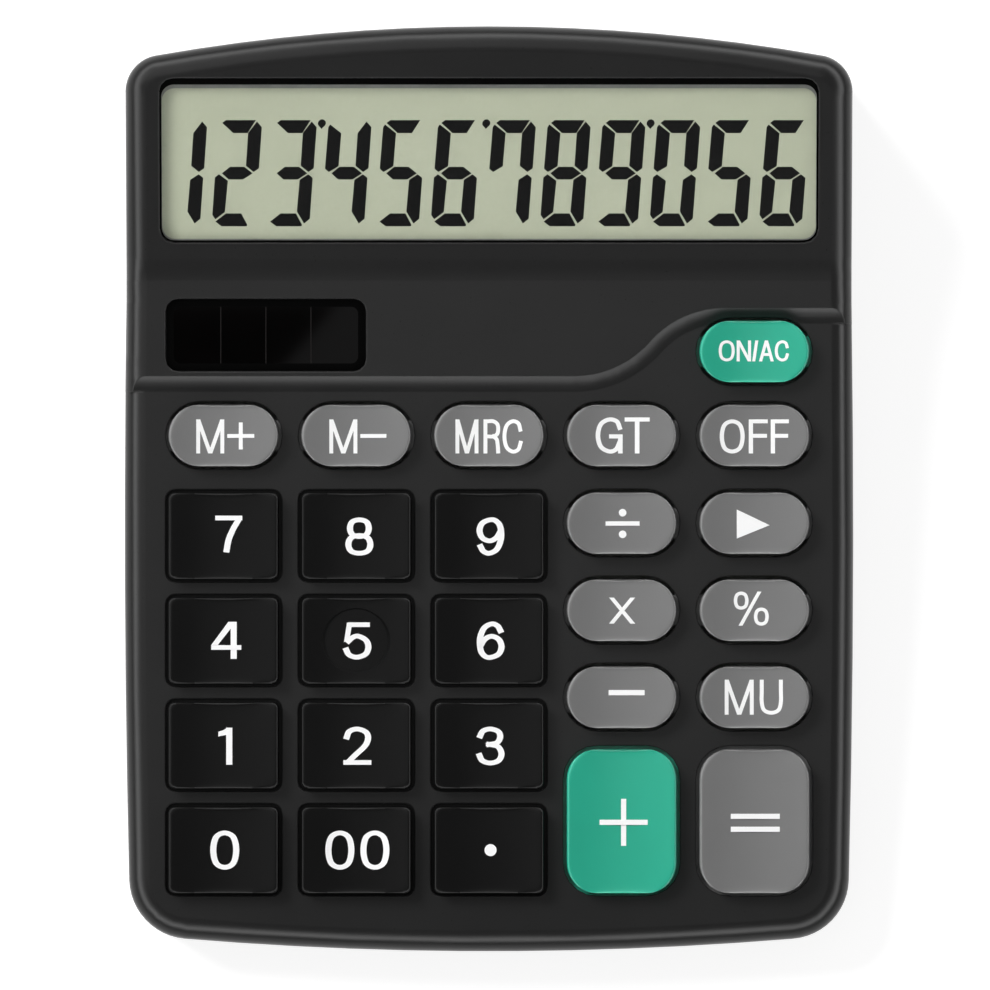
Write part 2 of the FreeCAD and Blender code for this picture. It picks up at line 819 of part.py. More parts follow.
def upper_case():
    outer = case_body(0).fuse(case_body(step_height).common(raised_region())).Solids[0]
    inner = outline_prism(wall, -deep, head_length)
    head_zone = box(-reach, reach, board_rear, body_length, -deep, deep)
    cavity = inner.common(side_profile(0, wall, -deep))
    cavity = cavity.fuse(inner.common(side_profile(step_height, wall, -deep)).common(head_zone))
    shell = outer.cut(cavity)
    shell = shell.multiFuse(upper_bosses(outer))
    slot_top = -parting_depth + tongue_height + tongue_gap
    slot = outline_prism(wall - tongue_thickness - tongue_gap, -parting_depth - over, slot_top)
    slot = slot.cut(outline_prism(wall, -parting_depth - 2 * over, slot_top + over))
    window = rounded_plate(window_width, window_length, window_radius, -wall - over, over)
    window = moved(window, 0, window_middle, 0)
    floor = step_height - solar_pocket_depth
    width = solar_width - 2 * solar_border
    length = solar_length - 2 * solar_border
    pocket = rounded_plate(solar_width, solar_length, solar_radius, floor, step_height + over)
    aperture = rounded_plate(width, length, solar_aperture_radius, -wall - over, step_height)
    cuts = key_wells() + pilot_holes() + [slot, on_head(window)]
    cuts += [moved(pocket, solar_x, solar_y, 0), moved(aperture, solar_x, solar_y, 0)]
    return shell.cut(Part.makeCompound(cuts)).Solids[0]


# Lower shell and battery bay, in the row frame

cell_y = body_length * math.cos(slope) - cell_setback
cell_z = underside + door_thickness + cell_gap + cell_radius
bay_half = (cell_length + nub_length + spring_depth + 2 * contact_thickness) / 2
bay_roof = cell_z + cell_radius + cell_gap
cell_right = bay_half - contact_thickness
cell_left = cell_right - nub_length - cell_length
door_half = bay_half - rail_width
lip_half = door_half + door_tongue
door_front = cell_y - cell_radius - bay_gap
tab_top = bay_roof + bay_wall + tab_reach


def lower_outer():
    tall = sloped(outline_prism(0, -deep, -parting_depth))
    body = tall.cut(box(-reach, reach, -reach, far_rear, underside - 4 * deep, underside))
    low_edges = [e for e in body.Edges if max(v.Z for v in e.Vertexes) < underside + 1e-5]
    return body.makeChamfer(bottom_edge, low_edges).Solids[0]


def lower_cavity():
    tall = sloped(outline_prism(wall, -deep, -parting_depth + over))
    return tall.cut(box(-reach, reach, -reach, far_rear, underside - 4 * deep, underside + wall))


def foot_places():
    rear = body_length * math.cos(slope) - foot_rear
    return [(side * foot_x, y) for side in (-1, 1) for y in (foot_front, rear)]


def foot_block(x, y, gap, drop):
    half_x = foot_width / 2 + gap
    half_y = foot_length / 2 + gap
    return box(x - half_x, x + half_x, y - half_y, y + half_y, underside - drop, underside + foot_recess)


def bay_cuts(outer, cavity):
    """The room for the cell, the mouth under it, the grooves of the door and the opening for its lip."""
    shell = outer.cut(cavity)
    room = box(-bay_half, bay_half, door_front, far_rear, underside + rail_height, bay_roof).common(cavity)
    mouth = box(-door_half, door_half, door_front, far_rear, underside - over, underside + rail_height)
    groove = box(-lip_half, lip_half, door_front, far_rear,
                 underside + rail_ledge, underside + door_thickness + door_gap)
    lip = box(-lip_half, lip_half, cell_y, far_rear, underside + rail_ledge, underside + door_lip)
    lip = lip.common(shell)
    cuts = [room, mouth, groove, lip]
    for side in (-1, 1):
        middle = side * (bay_half - contact_thickness / 2)
        half = contact_thickness / 2 + tab_gap
        breadth = tab_width / 2 + tab_gap
        slot = box(middle - half, middle + half, cell_y - breadth, cell_y + breadth, bay_roof - over, tab_top)
        cuts.append(slot.common(box(-bay_half, bay_half, -reach, far_rear, -deep, deep)))
    return cuts


def screw_bores():
    seat = boss_plane - screw_grip
    bores = []
    for x, y in case_screw_places():
        bores.append(sloped(rod(x, y, screw_head_radius + screw_clearance, -deep, seat)))
        bores.append(sloped(rod(x, y, screw_radius + screw_clearance, seat - over, boss_plane + over)))
    return bores


def parting_tongue():
    top = -parting_depth + tongue_height
    ring = outline_prism(wall - tongue_thickness, -parting_depth - over, top)
    return sloped(ring.cut(outline_prism(wall, -parting_depth - 2 * over, top + over)))


def parting_groove():
    low = -parting_depth - groove_height
    ring = outline_prism(-over, low, -parting_depth + over)
    return sloped(ring.cut(outline_prism(groove_depth, low - over, -parting_depth + 2 * over)))


def lower_case():
    outer = lower_outer()
    cavity = lower_cavity()
    inside = [sloped(rod(x, y, column_radius, -deep, boss_plane)) for x, y in case_screw_places()]
    inside.append(box(-bay_half - bay_wall, bay_half + bay_wall, door_front - bay_wall, far_rear,
                      underside, bay_roof + bay_wall))
    tray = outer.cut(cavity).multiFuse([shape.common(outer) for shape in inside] + [parting_tongue()])
    recesses = [foot_block(x, y, foot_gap, over) for x, y in foot_places()]
    cuts = screw_bores() + bay_cuts(outer, cavity) + recesses + [parting_groove()]
    for cut in cuts:
        tray = tray.cut(cut)
    return tray.removeSplitter()


def battery_door():
    """Stepped plate that rides over the ledges of the mouth, with a lip that closes the rear wall."""
    low_half = door_half - door_gap
    high_half = lip_half - door_gap
    front = door_front + door_gap
    step = underside + rail_ledge + door_gap
    top = underside + door_thickness
    plate = box(-low_half, low_half, front, far_rear, underside - over, step)
    plate = plate.fuse(box(-high_half, high_half, front, far_rear, step, top))
    lip = box(-high_half, high_half, cell_y, far_rear, step, underside + door_lip - door_gap)
    lip = lip.cut(lower_cavity())
    door = plate.fuse(lip).common(lower_outer())
    for i in range(grip_count):
        y = door_front + grip_setback + i * grip_pitch
        half = grip_width / 2
        door = door.cut(box(-half, half, y, y + grip_pitch / 2, underside - over, underside + grip_depth))
    return door.removeSplitter()


def battery_cell():
    can = frustum(2 * rod_sides, cell_radius, cell_radius, 0, cell_length)
    nub = frustum(rod_sides, nub_radius, nub_radius, cell_length, cell_length + nub_length)
    cell = can.fuse(nub)
    cell.rotate(Vector(0, 0, 0), Vector(0, 1, 0), 90)
    return moved(cell, cell_left, cell_y, cell_z)


def battery_plus_contact():
    half = tab_width / 2
    return box(bay_half - contact_thickness, bay_half, cell_y - half, cell_y + half,
               underside + rail_height, tab_top)


def battery_minus_contact():
    """A leaf of spring strip, folded back from the end wall of the bay to the flat end of the cell."""
    back = -bay_half + contact_thickness / 2
    low = cell_z - cell_radius * leaf_low_share
    high = cell_z + cell_radius * leaf_high_share
    path = [
        Vector(0, back, tab_top),
        Vector(0, back, low),
        Vector(0, cell_left - contact_thickness / 2, cell_z),
        Vector(0, back + leaf_tip_gap, high),
    ]
    leaf = strip(path, leaf_bend, tab_width, contact_thickness)
    leaf.rotate(Vector(0, 0, 0), Z_AXIS, -90)
    return moved(leaf, 0, cell_y, 0)


def battery_leads():
    """Two flat insulated leads from the tabs of the contacts to the rear of the board."""
    tab = Vector(0, cell_y - tab_width / 2 - lead_gap, tab_top - lead_thickness)
    start = turned(Part.Vertex(tab), -deck_slope).Point
    level = -board_depth + lead_thickness / 2
    land = Vector(0, board_rear + lead_rise, level)
    points = [start, Vector(0, land.y + lead_rise, start.z), land, Vector(0, board_rear - lead_bond, level)]
    lead = strip(points, lead_bend, lead_width, lead_thickness)
    offset = bay_half - lead_width / 2
    return Part.makeCompound([moved(lead, side * offset, 0, 0) for side in (-1, 1)])


def feet():
    return Part.makeCompound([foot_block(x, y, 0, foot_height) for x, y in foot_places()])


# Whole part: every piece in the row frame, stood on its feet with the middle of its box over the origin

def all_parts():
    parts = {
        "upper_case": upper_case(),
        "display_window": display_window(),
        "lcd_panel": lcd_panel(),
        "lcd_reflector": lcd_reflector(),
        "lcd_holder": lcd_holder(),
        "holder_screws": holder_screws(),
        "lcd_ribbon": lcd_ribbon(),
        "solar_window": solar_window(),
        "solar_cell": solar_cell(),
        "solar_leads": solar_leads(),
        "circuit_board": circuit_board(),
        "controller_chip": controller_chip(),
        "board_screws": board_screws(),
        "key_mat": key_mat(),
        "contact_pills": contact_pills(),
        "case_screws": case_screws(),
        "battery_leads": battery_leads(),
    }
    parts.update(key_parts())
    parts = {name: sloped(shape) for name, shape in parts.items()}
    parts["lower_case"] = lower_case()
    parts["battery_door"] = battery_door()
    parts["battery_cell"] = battery_cell()
    parts["battery_plus_contact"] = battery_plus_contact()
    parts["battery_minus_contact"] = battery_minus_contact()
    parts["feet"] = feet()
    return parts


parts = all_parts()
front_edge = top_edge * (math.cos(slope) + math.sin(slope) - 1)
rear_foot = (underside - body_length * math.sin(slope)) / math.cos(slope) + bottom_edge
rear_edge = body_length * math.cos(slope) - rear_foot * math.sin(slope)
os.makedirs("parts", exist_ok=True)
for name, shape in parts.items():
    placed = moved(shape, 0, -(front_edge + rear_edge) / 2, foot_height - underside)
    placed.exportStep(os.path.join("parts", name + ".step"))
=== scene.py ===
"""Looks for the desk calculator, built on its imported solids.

Lengths are in millimetres until a mesh is placed; Blender's own unit is the metre. The deck frame has X to
the right, Y up the slope of the keypad from its front edge and Z square to it. The head frame has Y up the
display from the crease and Z square to the display.
"""

import json
import math

import bmesh
import bpy
from mathutils import Matrix, Vector

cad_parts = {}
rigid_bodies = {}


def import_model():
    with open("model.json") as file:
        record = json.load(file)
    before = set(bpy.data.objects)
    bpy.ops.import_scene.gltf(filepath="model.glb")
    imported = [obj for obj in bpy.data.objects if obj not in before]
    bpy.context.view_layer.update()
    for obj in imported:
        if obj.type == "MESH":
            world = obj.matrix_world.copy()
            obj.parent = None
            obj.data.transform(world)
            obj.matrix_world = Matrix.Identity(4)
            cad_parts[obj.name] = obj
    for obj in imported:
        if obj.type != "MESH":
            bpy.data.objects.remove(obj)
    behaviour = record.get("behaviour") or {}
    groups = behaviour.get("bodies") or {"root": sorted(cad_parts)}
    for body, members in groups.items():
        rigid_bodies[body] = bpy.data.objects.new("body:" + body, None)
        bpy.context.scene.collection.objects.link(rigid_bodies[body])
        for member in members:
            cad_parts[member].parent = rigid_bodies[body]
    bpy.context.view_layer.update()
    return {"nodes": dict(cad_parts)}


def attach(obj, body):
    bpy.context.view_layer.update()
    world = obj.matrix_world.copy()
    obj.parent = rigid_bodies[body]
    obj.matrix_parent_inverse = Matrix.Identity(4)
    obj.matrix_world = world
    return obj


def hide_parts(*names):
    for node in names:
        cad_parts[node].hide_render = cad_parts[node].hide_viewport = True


for leftover in list(bpy.data.objects):
    bpy.data.objects.remove(leftover)
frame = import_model()
nodes = frame["nodes"]

# Frames
MM = 0.001
deck_slope = math.radians(7.0)
head_slope = math.radians(12.0)
front_edge = Vector((0, -77.439, 14.0))
crease_y = 112.1
step_height = 0.8
deck = Matrix.Scale(MM, 4) @ Matrix.Translation(front_edge) @ Matrix.Rotation(deck_slope, 4, "X")
head = deck @ Matrix.Translation((0, crease_y, step_height)) @ Matrix.Rotation(head_slope, 4, "X")

# Key grid and caps
column_pitch = 21.8
number_rows = [16.8, 34.0, 51.2, 68.4]
pill_rows = [41.9, 56.2, 70.5]
memory_row = 84.9
clear_row = 98.7
tall_row = 21.55
cap_width = 18.05
cap_top = 3.0
cap_foot = -3.0
cap_hollow = 1.0  # finger hollow along the middle of each cap
cap_rim = 0.6  # rounding of the cap's upper edge
corner_steps = 9
side_cuts = 4
rim_steps = 5
top_rings = 12
cap_forms = {"number": (14.1, 1.0), "pill": (10.1, 5.05), "tall": (23.6, 4.95)}
flange_width = 20.15
flange_margin = 2.1  # flange past the cap, along the longer caps
flange_thickness = 0.85
dish_top = 10.7
dish_floor = 10.3
dish_depth = 0.3
dish_sides = 96
stem_width = 4.0
stem_foot = -3.5
cap_sharp = 25  # degrees, turns that stay sharp
weld = 0.001  # points nearer than this are one

# Case screws: places on the deck plane and the seat of their heads
screw_places = [(45.0, 6.06), (48.0, 111.7), (40.0, 144.24)]
screw_seat = -11.9
screw_head_radius = 2.3
screw_head_height = 1.5
screw_crown = 0.45  # bevel round the head
recess_length = 2.7
recess_width = 0.7
recess_depth = 0.9
shank_radius = 1.08
shank_length = 7.4
head_sides = 40
shank_sides = 24
screw_sharp = 30  # degrees

# Ink and painted bands: legends on the caps, and bands, digits and lines on the plates, with painted
# highlight and shade round the display window
ink_lift = 0.015  # ink above the face under it
ink_sink = 0.06  # legends below the face of the cap
ink_film = 0.012  # thickness of printed and painted bands, digits and lines
ink_step = 0.002  # each stroke lies a little over the last, so that no two faces share a plane

# Display
plate_width = 107.75
plate_front = 4.7
plate_rear = 30.8
plate_radius = 2.1
plate_top = -0.8
plate_low = -1.94
glass_top = -2.0
edge_highlight_rear = 0.75  # painted highlight: grey band along the plate's rear edge, behind the visible display
edge_highlight_side = 0.2
shade_band_lip = 0.12  # painted shade: black band over the plate's edge, in the window's recess
shade_band_reach = 0.5  # shade band under the case
shade_band_rear = 1.5
digit_pitch = 8.99
digit_foot = 7.0
digit_lean = 0.072  # run over rise
first_digit_x = -53.95
separator_places = (2, 5, 8)  # digits with a separator behind them

# Solar strip
solar_x = -36.675
solar_y = 101.4
solar_width = 32.6
solar_length = 11.6
solar_radius = 1.9
solar_plate_top = 0.0
solar_plate_low = -0.76
solar_divider = 0.16
solar_cell_pitch = 7.41
solar_border = 1.15

# Camera: straight down on the deck, from far enough off to be all but parallel
pixel = 0.16438  # millimetres across one pixel of the 990 by 990 picture
picture_width = 990 * pixel
picture_x = 0.986
picture_y = 75.12
lens = 500.0
sensor = 36.0

# Light
world_level = 0.3
band_level = 7.0
band_rise = (0.25, 0.45)  # heights of direction over which the band comes up
band_fall = (0.5, 0.78)
band_foot = 0.1  # level under the band
band_end = 0.02  # share left over the band
floor_lift = 0.84
floor_paint = "#B4B4B4"
floor_half = 4
key_place_above = (-2.0, 1.5, 2.5)
key_size = 1.6
key_power = 132.0
key_target = (0, 0, 0.02)
ceiling_level = 1.5
ceiling_corners = [(-4.0, -0.6, 3.75), (0.5, -0.6, 3.75), (0.5, 4.0, 3.75), (-4.0, 4.0, 3.75)]
card_distance = 300  # mirrored cards from the plates that show them
glare_level = 0.12
display_glare = [(-60, 0), (12.8, 0), (46.6, 37), (-60, 37)]
solar_shade = [(-24.2, 111.4), (-40.6, 90.0), (-60, 90.0), (-60, 111.4)]


# Small builders

def add_node(tree, kind, inputs=None, **settings):
    """Adds one node, with its settings, and fills or links its inputs. A node given as an input stands for
    its first output, and a list of nodes or sockets for a link from each."""
    made = tree.nodes.new(kind)
    for name, value in settings.items():
        setattr(made, name, value)
    for name, value in (inputs or {}).items():
        joined = isinstance(value, list) and isinstance(value[0], bpy.types.bpy_struct)
        for source in value if joined else [value]:
            if isinstance(source, bpy.types.Node):
                source = source.outputs[0]
            if isinstance(source, bpy.types.NodeSocket):
                tree.links.new(source, made.inputs[name])
            else:
                made.inputs[name].default_value = source
    return made


def new_object(name, data):
    made = bpy.data.objects.new(name, data)
    bpy.context.scene.collection.objects.link(made)
    return made


def add_piece(name, mesh, place, body, material):
    """Places a mesh in the row frame as a finished piece that rides on a body."""
    mesh.transform(place)
    mesh.name = name
    mesh.materials.clear()
    mesh.materials.append(material)
    made = new_object(name, mesh)
    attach(made, body)
    return made


def smooth(made, degrees):
    """Smooth shading, kept sharp at edges that turn more than the given angle."""
    made.data.polygons.foreach_set("use_smooth", [True] * len(made.data.polygons))
    made.data.set_sharp_from_angle(angle=math.radians(degrees))


def even_normals(made):
    """Normals weighted by the area of the faces, so that a sliver doesn't show as a line in the shine."""
    made.modifiers.new("even_normals", "WEIGHTED_NORMAL").keep_sharp = True
    shaded = made.evaluated_get(bpy.context.evaluated_depsgraph_get())
    made.data = bpy.data.meshes.new_from_object(shaded)
    made.modifiers.clear()


def mesh_from(bm, name):
    mesh = bpy.data.meshes.new(name)
    bm.to_mesh(mesh)
    bm.free()
    return mesh


def rounded_outline(x0, x1, y0, y1, radius, steps=12):
    """Points round a rectangle with round corners, anticlockwise."""
    points = []
    corners = ((x1, y1, -1, -1), (x0, y1, 1, -1), (x0, y0, 1, 1), (x1, y0, -1, 1))
    for quarter, (x, y, inward_x, inward_y) in enumerate(corners):
        for i in range(steps + 1):
            angle = (quarter + i / steps) * math.pi / 2
            points.append((
                x + inward_x * radius + radius * math.cos(angle),
                y + inward_y * radius + radius * math.sin(angle),
            ))
    return points


def deepen(bm, faces, depth):
    """Closed solids: a copy of the faces the given depth below them, and walls round their edges."""
    grown = bmesh.ops.extrude_face_region(bm, geom=faces, use_keep_orig=True)
    copied = [v for v in grown["geom"] if isinstance(v, bmesh.types.BMVert)]
    bmesh.ops.translate(bm, verts=copied, vec=(0, 0, -depth))


def plates_mesh(name, outlines, low, high):
    """Flat plates between two levels, one to an outline."""
    bm = bmesh.new()
    tops = [bm.faces.new([bm.verts.new((x, y, high)) for x, y in outline]) for outline in outlines]
    deepen(bm, tops, high - low)
    bmesh.ops.recalc_face_normals(bm, faces=bm.faces)
    return mesh_from(bm, name)


# Colours and materials

def linear(hex_colour):
    """An sRGB hex value as linear red, green, blue and alpha."""
    values = [int(hex_colour[i:i + 2], 16) / 255 for i in (1, 3, 5)]
    return [v / 12.92 if v <= 0.04045 else ((v + 0.055) / 1.055) ** 2.4 for v in values] + [1.0]


def new_material(name):
    made = bpy.data.materials.new(name)
    made.use_nodes = True
    made.node_tree.nodes.clear()
    return made


def textured_material(name):
    """A new material, its tree, and the place on the object that its patterns follow."""
    made = new_material(name)
    tree = made.node_tree
    return made, tree, add_node(tree, "ShaderNodeTexCoord").outputs["Object"]


def per_mm(size):
    """Texture scale at which one feature of a pattern is the given number of millimetres."""
    return 1 / (size * MM)


def moulded_plastic(name, colour, mottle, roughness, grain, depth, mirror=0.5, edge=0.0):
    """Plastic or rubber from a spark-eroded tool: a fine even grain breaks up the shine, and the colour
    drifts a little where the melt ran."""
    made, tree, place = textured_material(name)
    drift = add_node(tree, "ShaderNodeTexNoise", {"Vector": place, "Scale": per_mm(9.0), "Detail": 2.0})
    tint = add_node(tree, "ShaderNodeMix", {
        "Factor": drift, 6: linear(colour), 7: linear(mottle)}, data_type="RGBA")
    speck = add_node(tree, "ShaderNodeTexNoise", {"Vector": place, "Scale": per_mm(grain), "Detail": 3.0})
    shine = add_node(tree, "ShaderNodeMapRange", {
        "Value": speck, "To Min": roughness - 0.06, "To Max": roughness + 0.06})
    bump = add_node(tree, "ShaderNodeBump", {"Height": speck, "Strength": 1.0, "Distance": depth * MM})
    if edge:
        worn = add_node(tree, "ShaderNodeBevel", {"Radius": edge * MM}, samples=6)
        tree.links.new(worn.outputs["Normal"], bump.inputs["Normal"])
    skin = add_node(tree, "ShaderNodeBsdfPrincipled", {
        "Base Color": tint.outputs[2], "Roughness": shine, "Normal": bump,
        "IOR": 1.52, "Specular IOR Level": mirror})
    add_node(tree, "ShaderNodeOutputMaterial", {"Surface": skin})
    return made


def plain_metal(name, colour, roughness, brush):
    """Plated steel strip or screw stock: fine drawn lines along it vary the shine."""
    made, tree, place = textured_material(name)
    turned = add_node(tree, "ShaderNodeMapping", {"Vector": place, "Scale": (1, 1, 0.1)})
    line = add_node(tree, "ShaderNodeTexNoise", {"Vector": turned, "Scale": per_mm(brush)})
    shine = add_node(tree, "ShaderNodeMapRange", {
        "Value": line, "To Min": roughness - 0.1, "To Max": roughness + 0.1})
    skin = add_node(tree, "ShaderNodeBsdfPrincipled", {
        "Base Color": linear(colour), "Metallic": 1.0, "Roughness": shine})
    add_node(tree, "ShaderNodeOutputMaterial", {"Surface": skin})
    return made


def clear_acrylic():
    """Cast acrylic sheet: polished, so it mirrors lamps faintly, with a trace of haze."""
    made, tree, place = textured_material("clear_acrylic")
    haze = add_node(tree, "ShaderNodeTexNoise", {"Vector": place, "Scale": per_mm(14.0)})
    shine = add_node(tree, "ShaderNodeMapRange", {"Value": haze, "To Min": 0.0, "To Max": 0.015})
    skin = add_node(tree, "ShaderNodeBsdfPrincipled", {
        "Base Color": linear("#FFFFFF"), "Roughness": shine, "IOR": 1.49, "Transmission Weight": 1.0})
    add_node(tree, "ShaderNodeOutputMaterial", {"Surface": skin})
    return made


def liquid_crystal():
    """Polariser over liquid crystal and a foil reflector: grey-green with the faint sparkle of the foil."""
    made, tree, place = textured_material("liquid_crystal_polariser")
    foil = add_node(tree, "ShaderNodeTexNoise", {"Vector": place, "Scale": per_mm(0.5), "Detail": 2.0})
    cloud = add_node(tree, "ShaderNodeTexNoise", {"Vector": place, "Scale": per_mm(30.0)})
    mixed = add_node(tree, "ShaderNodeMath", {0: foil, 1: cloud}, operation="MULTIPLY")
    tint = add_node(tree, "ShaderNodeMix", {
        "Factor": mixed, 6: linear("#959A86"), 7: linear("#A0A492")}, data_type="RGBA")
    skin = add_node(tree, "ShaderNodeBsdfPrincipled", {
        "Base Color": tint.outputs[2], "Roughness": 0.6, "Specular IOR Level": 0.2})
    add_node(tree, "ShaderNodeOutputMaterial", {"Surface": skin})
    return made


def amorphous_silicon():
    """Thin silicon behind coated cover glass: near black with a brown cast that drifts over the strip, and a
    weak sharp mirror."""
    made, tree, place = textured_material("amorphous_silicon")
    drift = add_node(tree, "ShaderNodeTexNoise", {"Vector": place, "Scale": per_mm(6.0)})
    tint = add_node(tree, "ShaderNodeMix", {
        "Factor": drift, 6: linear("#030303"), 7: linear("#060505")}, data_type="RGBA")
    skin = add_node(tree, "ShaderNodeBsdfPrincipled", {
        "Base Color": tint.outputs[2], "Roughness": 0.05, "Specular IOR Level": 0.06})
    add_node(tree, "ShaderNodeOutputMaterial", {"Surface": skin})
    return made


def ink_and_painted_light(name, colour, roughness, mirror):
    """Pad-printed ink, and flat paint for painted highlight and shade at the window: an even film with the
    faint pinholes of the pad.
    """
    made, tree, place = textured_material(name)
    film = add_node(tree, "ShaderNodeTexNoise", {"Vector": place, "Scale": per_mm(0.4)})
    shine = add_node(tree, "ShaderNodeMapRange", {
        "Value": film, "To Min": roughness - 0.08, "To Max": roughness + 0.08})
    skin = add_node(tree, "ShaderNodeBsdfPrincipled", {
        "Base Color": linear(colour), "Roughness": shine, "Specular IOR Level": mirror})
    add_node(tree, "ShaderNodeOutputMaterial", {"Surface": skin})
    return made


case_abs = moulded_plastic("charcoal_moulded_abs", "#181818", "#1D1D1D", 0.3, 0.35, 0.003, 0.22, 0.35)
black_abs = moulded_plastic("black_key_abs", "#060606", "#0A0A0A", 0.32, 0.35, 0.002, 0.13)
grey_abs = moulded_plastic("grey_key_abs", "#6E6E6E", "#747474", 0.32, 0.35, 0.002)
green_abs = moulded_plastic("green_key_abs", "#1F9E82", "#22AA8D", 0.32, 0.35, 0.002)
white_abs = moulded_plastic("white_holder_abs", "#D8D8D4", "#E0E0DC", 0.5, 0.4, 0.004)
silicone = moulded_plastic("moulded_silicone", "#9A9A96", "#A6A6A2", 0.65, 0.5, 0.006)
carbon_rubber = moulded_plastic("carbon_filled_silicone", "#141414", "#1C1C1C", 0.7, 0.4, 0.006)
foot_rubber = moulded_plastic("moulded_foot_rubber", "#161616", "#1E1E1E", 0.75, 0.5, 0.012, 0.3, 0.3)
board_laminate = moulded_plastic("epoxy_glass_laminate", "#1F4A2C", "#285A36", 0.35, 0.8, 0.004)
chip_epoxy = moulded_plastic("chip_epoxy", "#131313", "#1B1B1B", 0.6, 0.3, 0.006)
ribbon_film = moulded_plastic("polyimide_film", "#A5692C", "#B4763A", 0.3, 0.8, 0.002)
cell_sleeve = moulded_plastic("printed_cell_sleeve", "#2E3238", "#383C44", 0.3, 2.0, 0.002)
lead_vinyl = moulded_plastic("lead_vinyl", "#8C1F1A", "#9A2A24", 0.45, 0.6, 0.003)
screw_steel = plain_metal("zinc_plated_steel", "#9A9A94", 0.35, 0.2)
contact_steel = plain_metal("nickel_plated_strip", "#B8B4AA", 0.3, 0.2)
foil = plain_metal("satin_aluminium_foil", "#C4C6BE", 0.45, 0.3)
acrylic = clear_acrylic()
crystal = liquid_crystal()
silicon = amorphous_silicon()
white_ink = ink_and_painted_light("white_pad_ink", "#FCFCFC", 0.5, 0.3)
# Black of the display's segments, also used as painted shade in the window's recess
segment_and_shade_ink = ink_and_painted_light("segment_black_and_painted_shade", "#010101", 0.6, 0.02)
# Painted highlight: a flat grey that stands in for light caught on the display plate's edge
edge_highlight_paint = ink_and_painted_light("grey_painted_edge_highlight", "#6A6B68", 0.5, 0.2)
silver_paste = ink_and_painted_light("silver_paste", "#161414", 0.4, 0.1)

node_finishes = {
    case_abs: ["upper_case", "lower_case", "battery_door"],
    crystal: ["lcd_panel"],
    foil: ["lcd_reflector"],
    white_abs: ["lcd_holder"],
    ribbon_film: ["lcd_ribbon"],
    silicon: ["solar_cell"],
    board_laminate: ["circuit_board"],
    chip_epoxy: ["controller_chip"],
    silicone: ["key_mat"],
    carbon_rubber: ["contact_pills"],
    screw_steel: ["case_screws", "board_screws", "holder_screws"],
    contact_steel: ["battery_plus_contact", "battery_minus_contact"],
    cell_sleeve: ["battery_cell"],
    lead_vinyl: ["battery_leads", "solar_leads"],
    foot_rubber: ["feet"],
}
even_normals(nodes["upper_case"])
for finish, names in node_finishes.items():
    for name in names:
        nodes[name].material_slots[0].material = finish


# Key caps, grown by Geometry Nodes

def new_tree(name, numbers, choices=()):
    """An empty Geometry Nodes tree with an input for each named size and choice, and its inputs' sockets."""
    tree = bpy.data.node_groups.new(name, "GeometryNodeTree")
    face = tree.interface
    face.new_socket("Points", in_out="INPUT", socket_type="NodeSocketGeometry")
    for number in numbers:
        face.new_socket(number, in_out="INPUT", socket_type="NodeSocketFloat")
    for choice in choices:
        face.new_socket(choice, in_out="INPUT", socket_type="NodeSocketBool")
    face.new_socket("Material", in_out="INPUT", socket_type="NodeSocketMaterial")
    face.new_socket("Geometry", in_out="OUTPUT", socket_type="NodeSocketGeometry")
    return tree, add_node(tree, "NodeGroupInput").outputs


def end_tree(tree, geometry, material):
    real = add_node(tree, "GeometryNodeRealizeInstances", {"Geometry": geometry})
    painted = add_node(tree, "GeometryNodeSetMaterial", {"Geometry": real, "Material": material})
    add_node(tree, "NodeGroupOutput", {"Geometry": painted})


def raised(tree, geometry, height):
    """Geometry moved up by a height, which may be a socket."""
    way = add_node(tree, "ShaderNodeCombineXYZ", {"Z": height})
    return add_node(tree, "GeometryNodeTransform", {"Geometry": geometry, "Translation": way})


def add_ring(tree, body, top, place, shrink, offset=None):
    """Grows the top of a body once more, draws the new ring in, and gives the body and its new top."""
    inputs = {"Mesh": body, "Selection": top, "Offset Scale": 0.0, "Individual": False}
    if offset:
        inputs.update({"Offset": offset, "Offset Scale": 1.0})
    grown = add_node(tree, "GeometryNodeExtrudeMesh", inputs, mode="FACES")
    drawn = add_node(tree, "ShaderNodeVectorMath", {0: place, 1: shrink}, operation="MULTIPLY")
    ring = add_node(tree, "GeometryNodeSetPosition", {"Geometry": grown, "Selection": grown.outputs["Top"],
        "Position": drawn})
    return ring, grown.outputs["Top"]


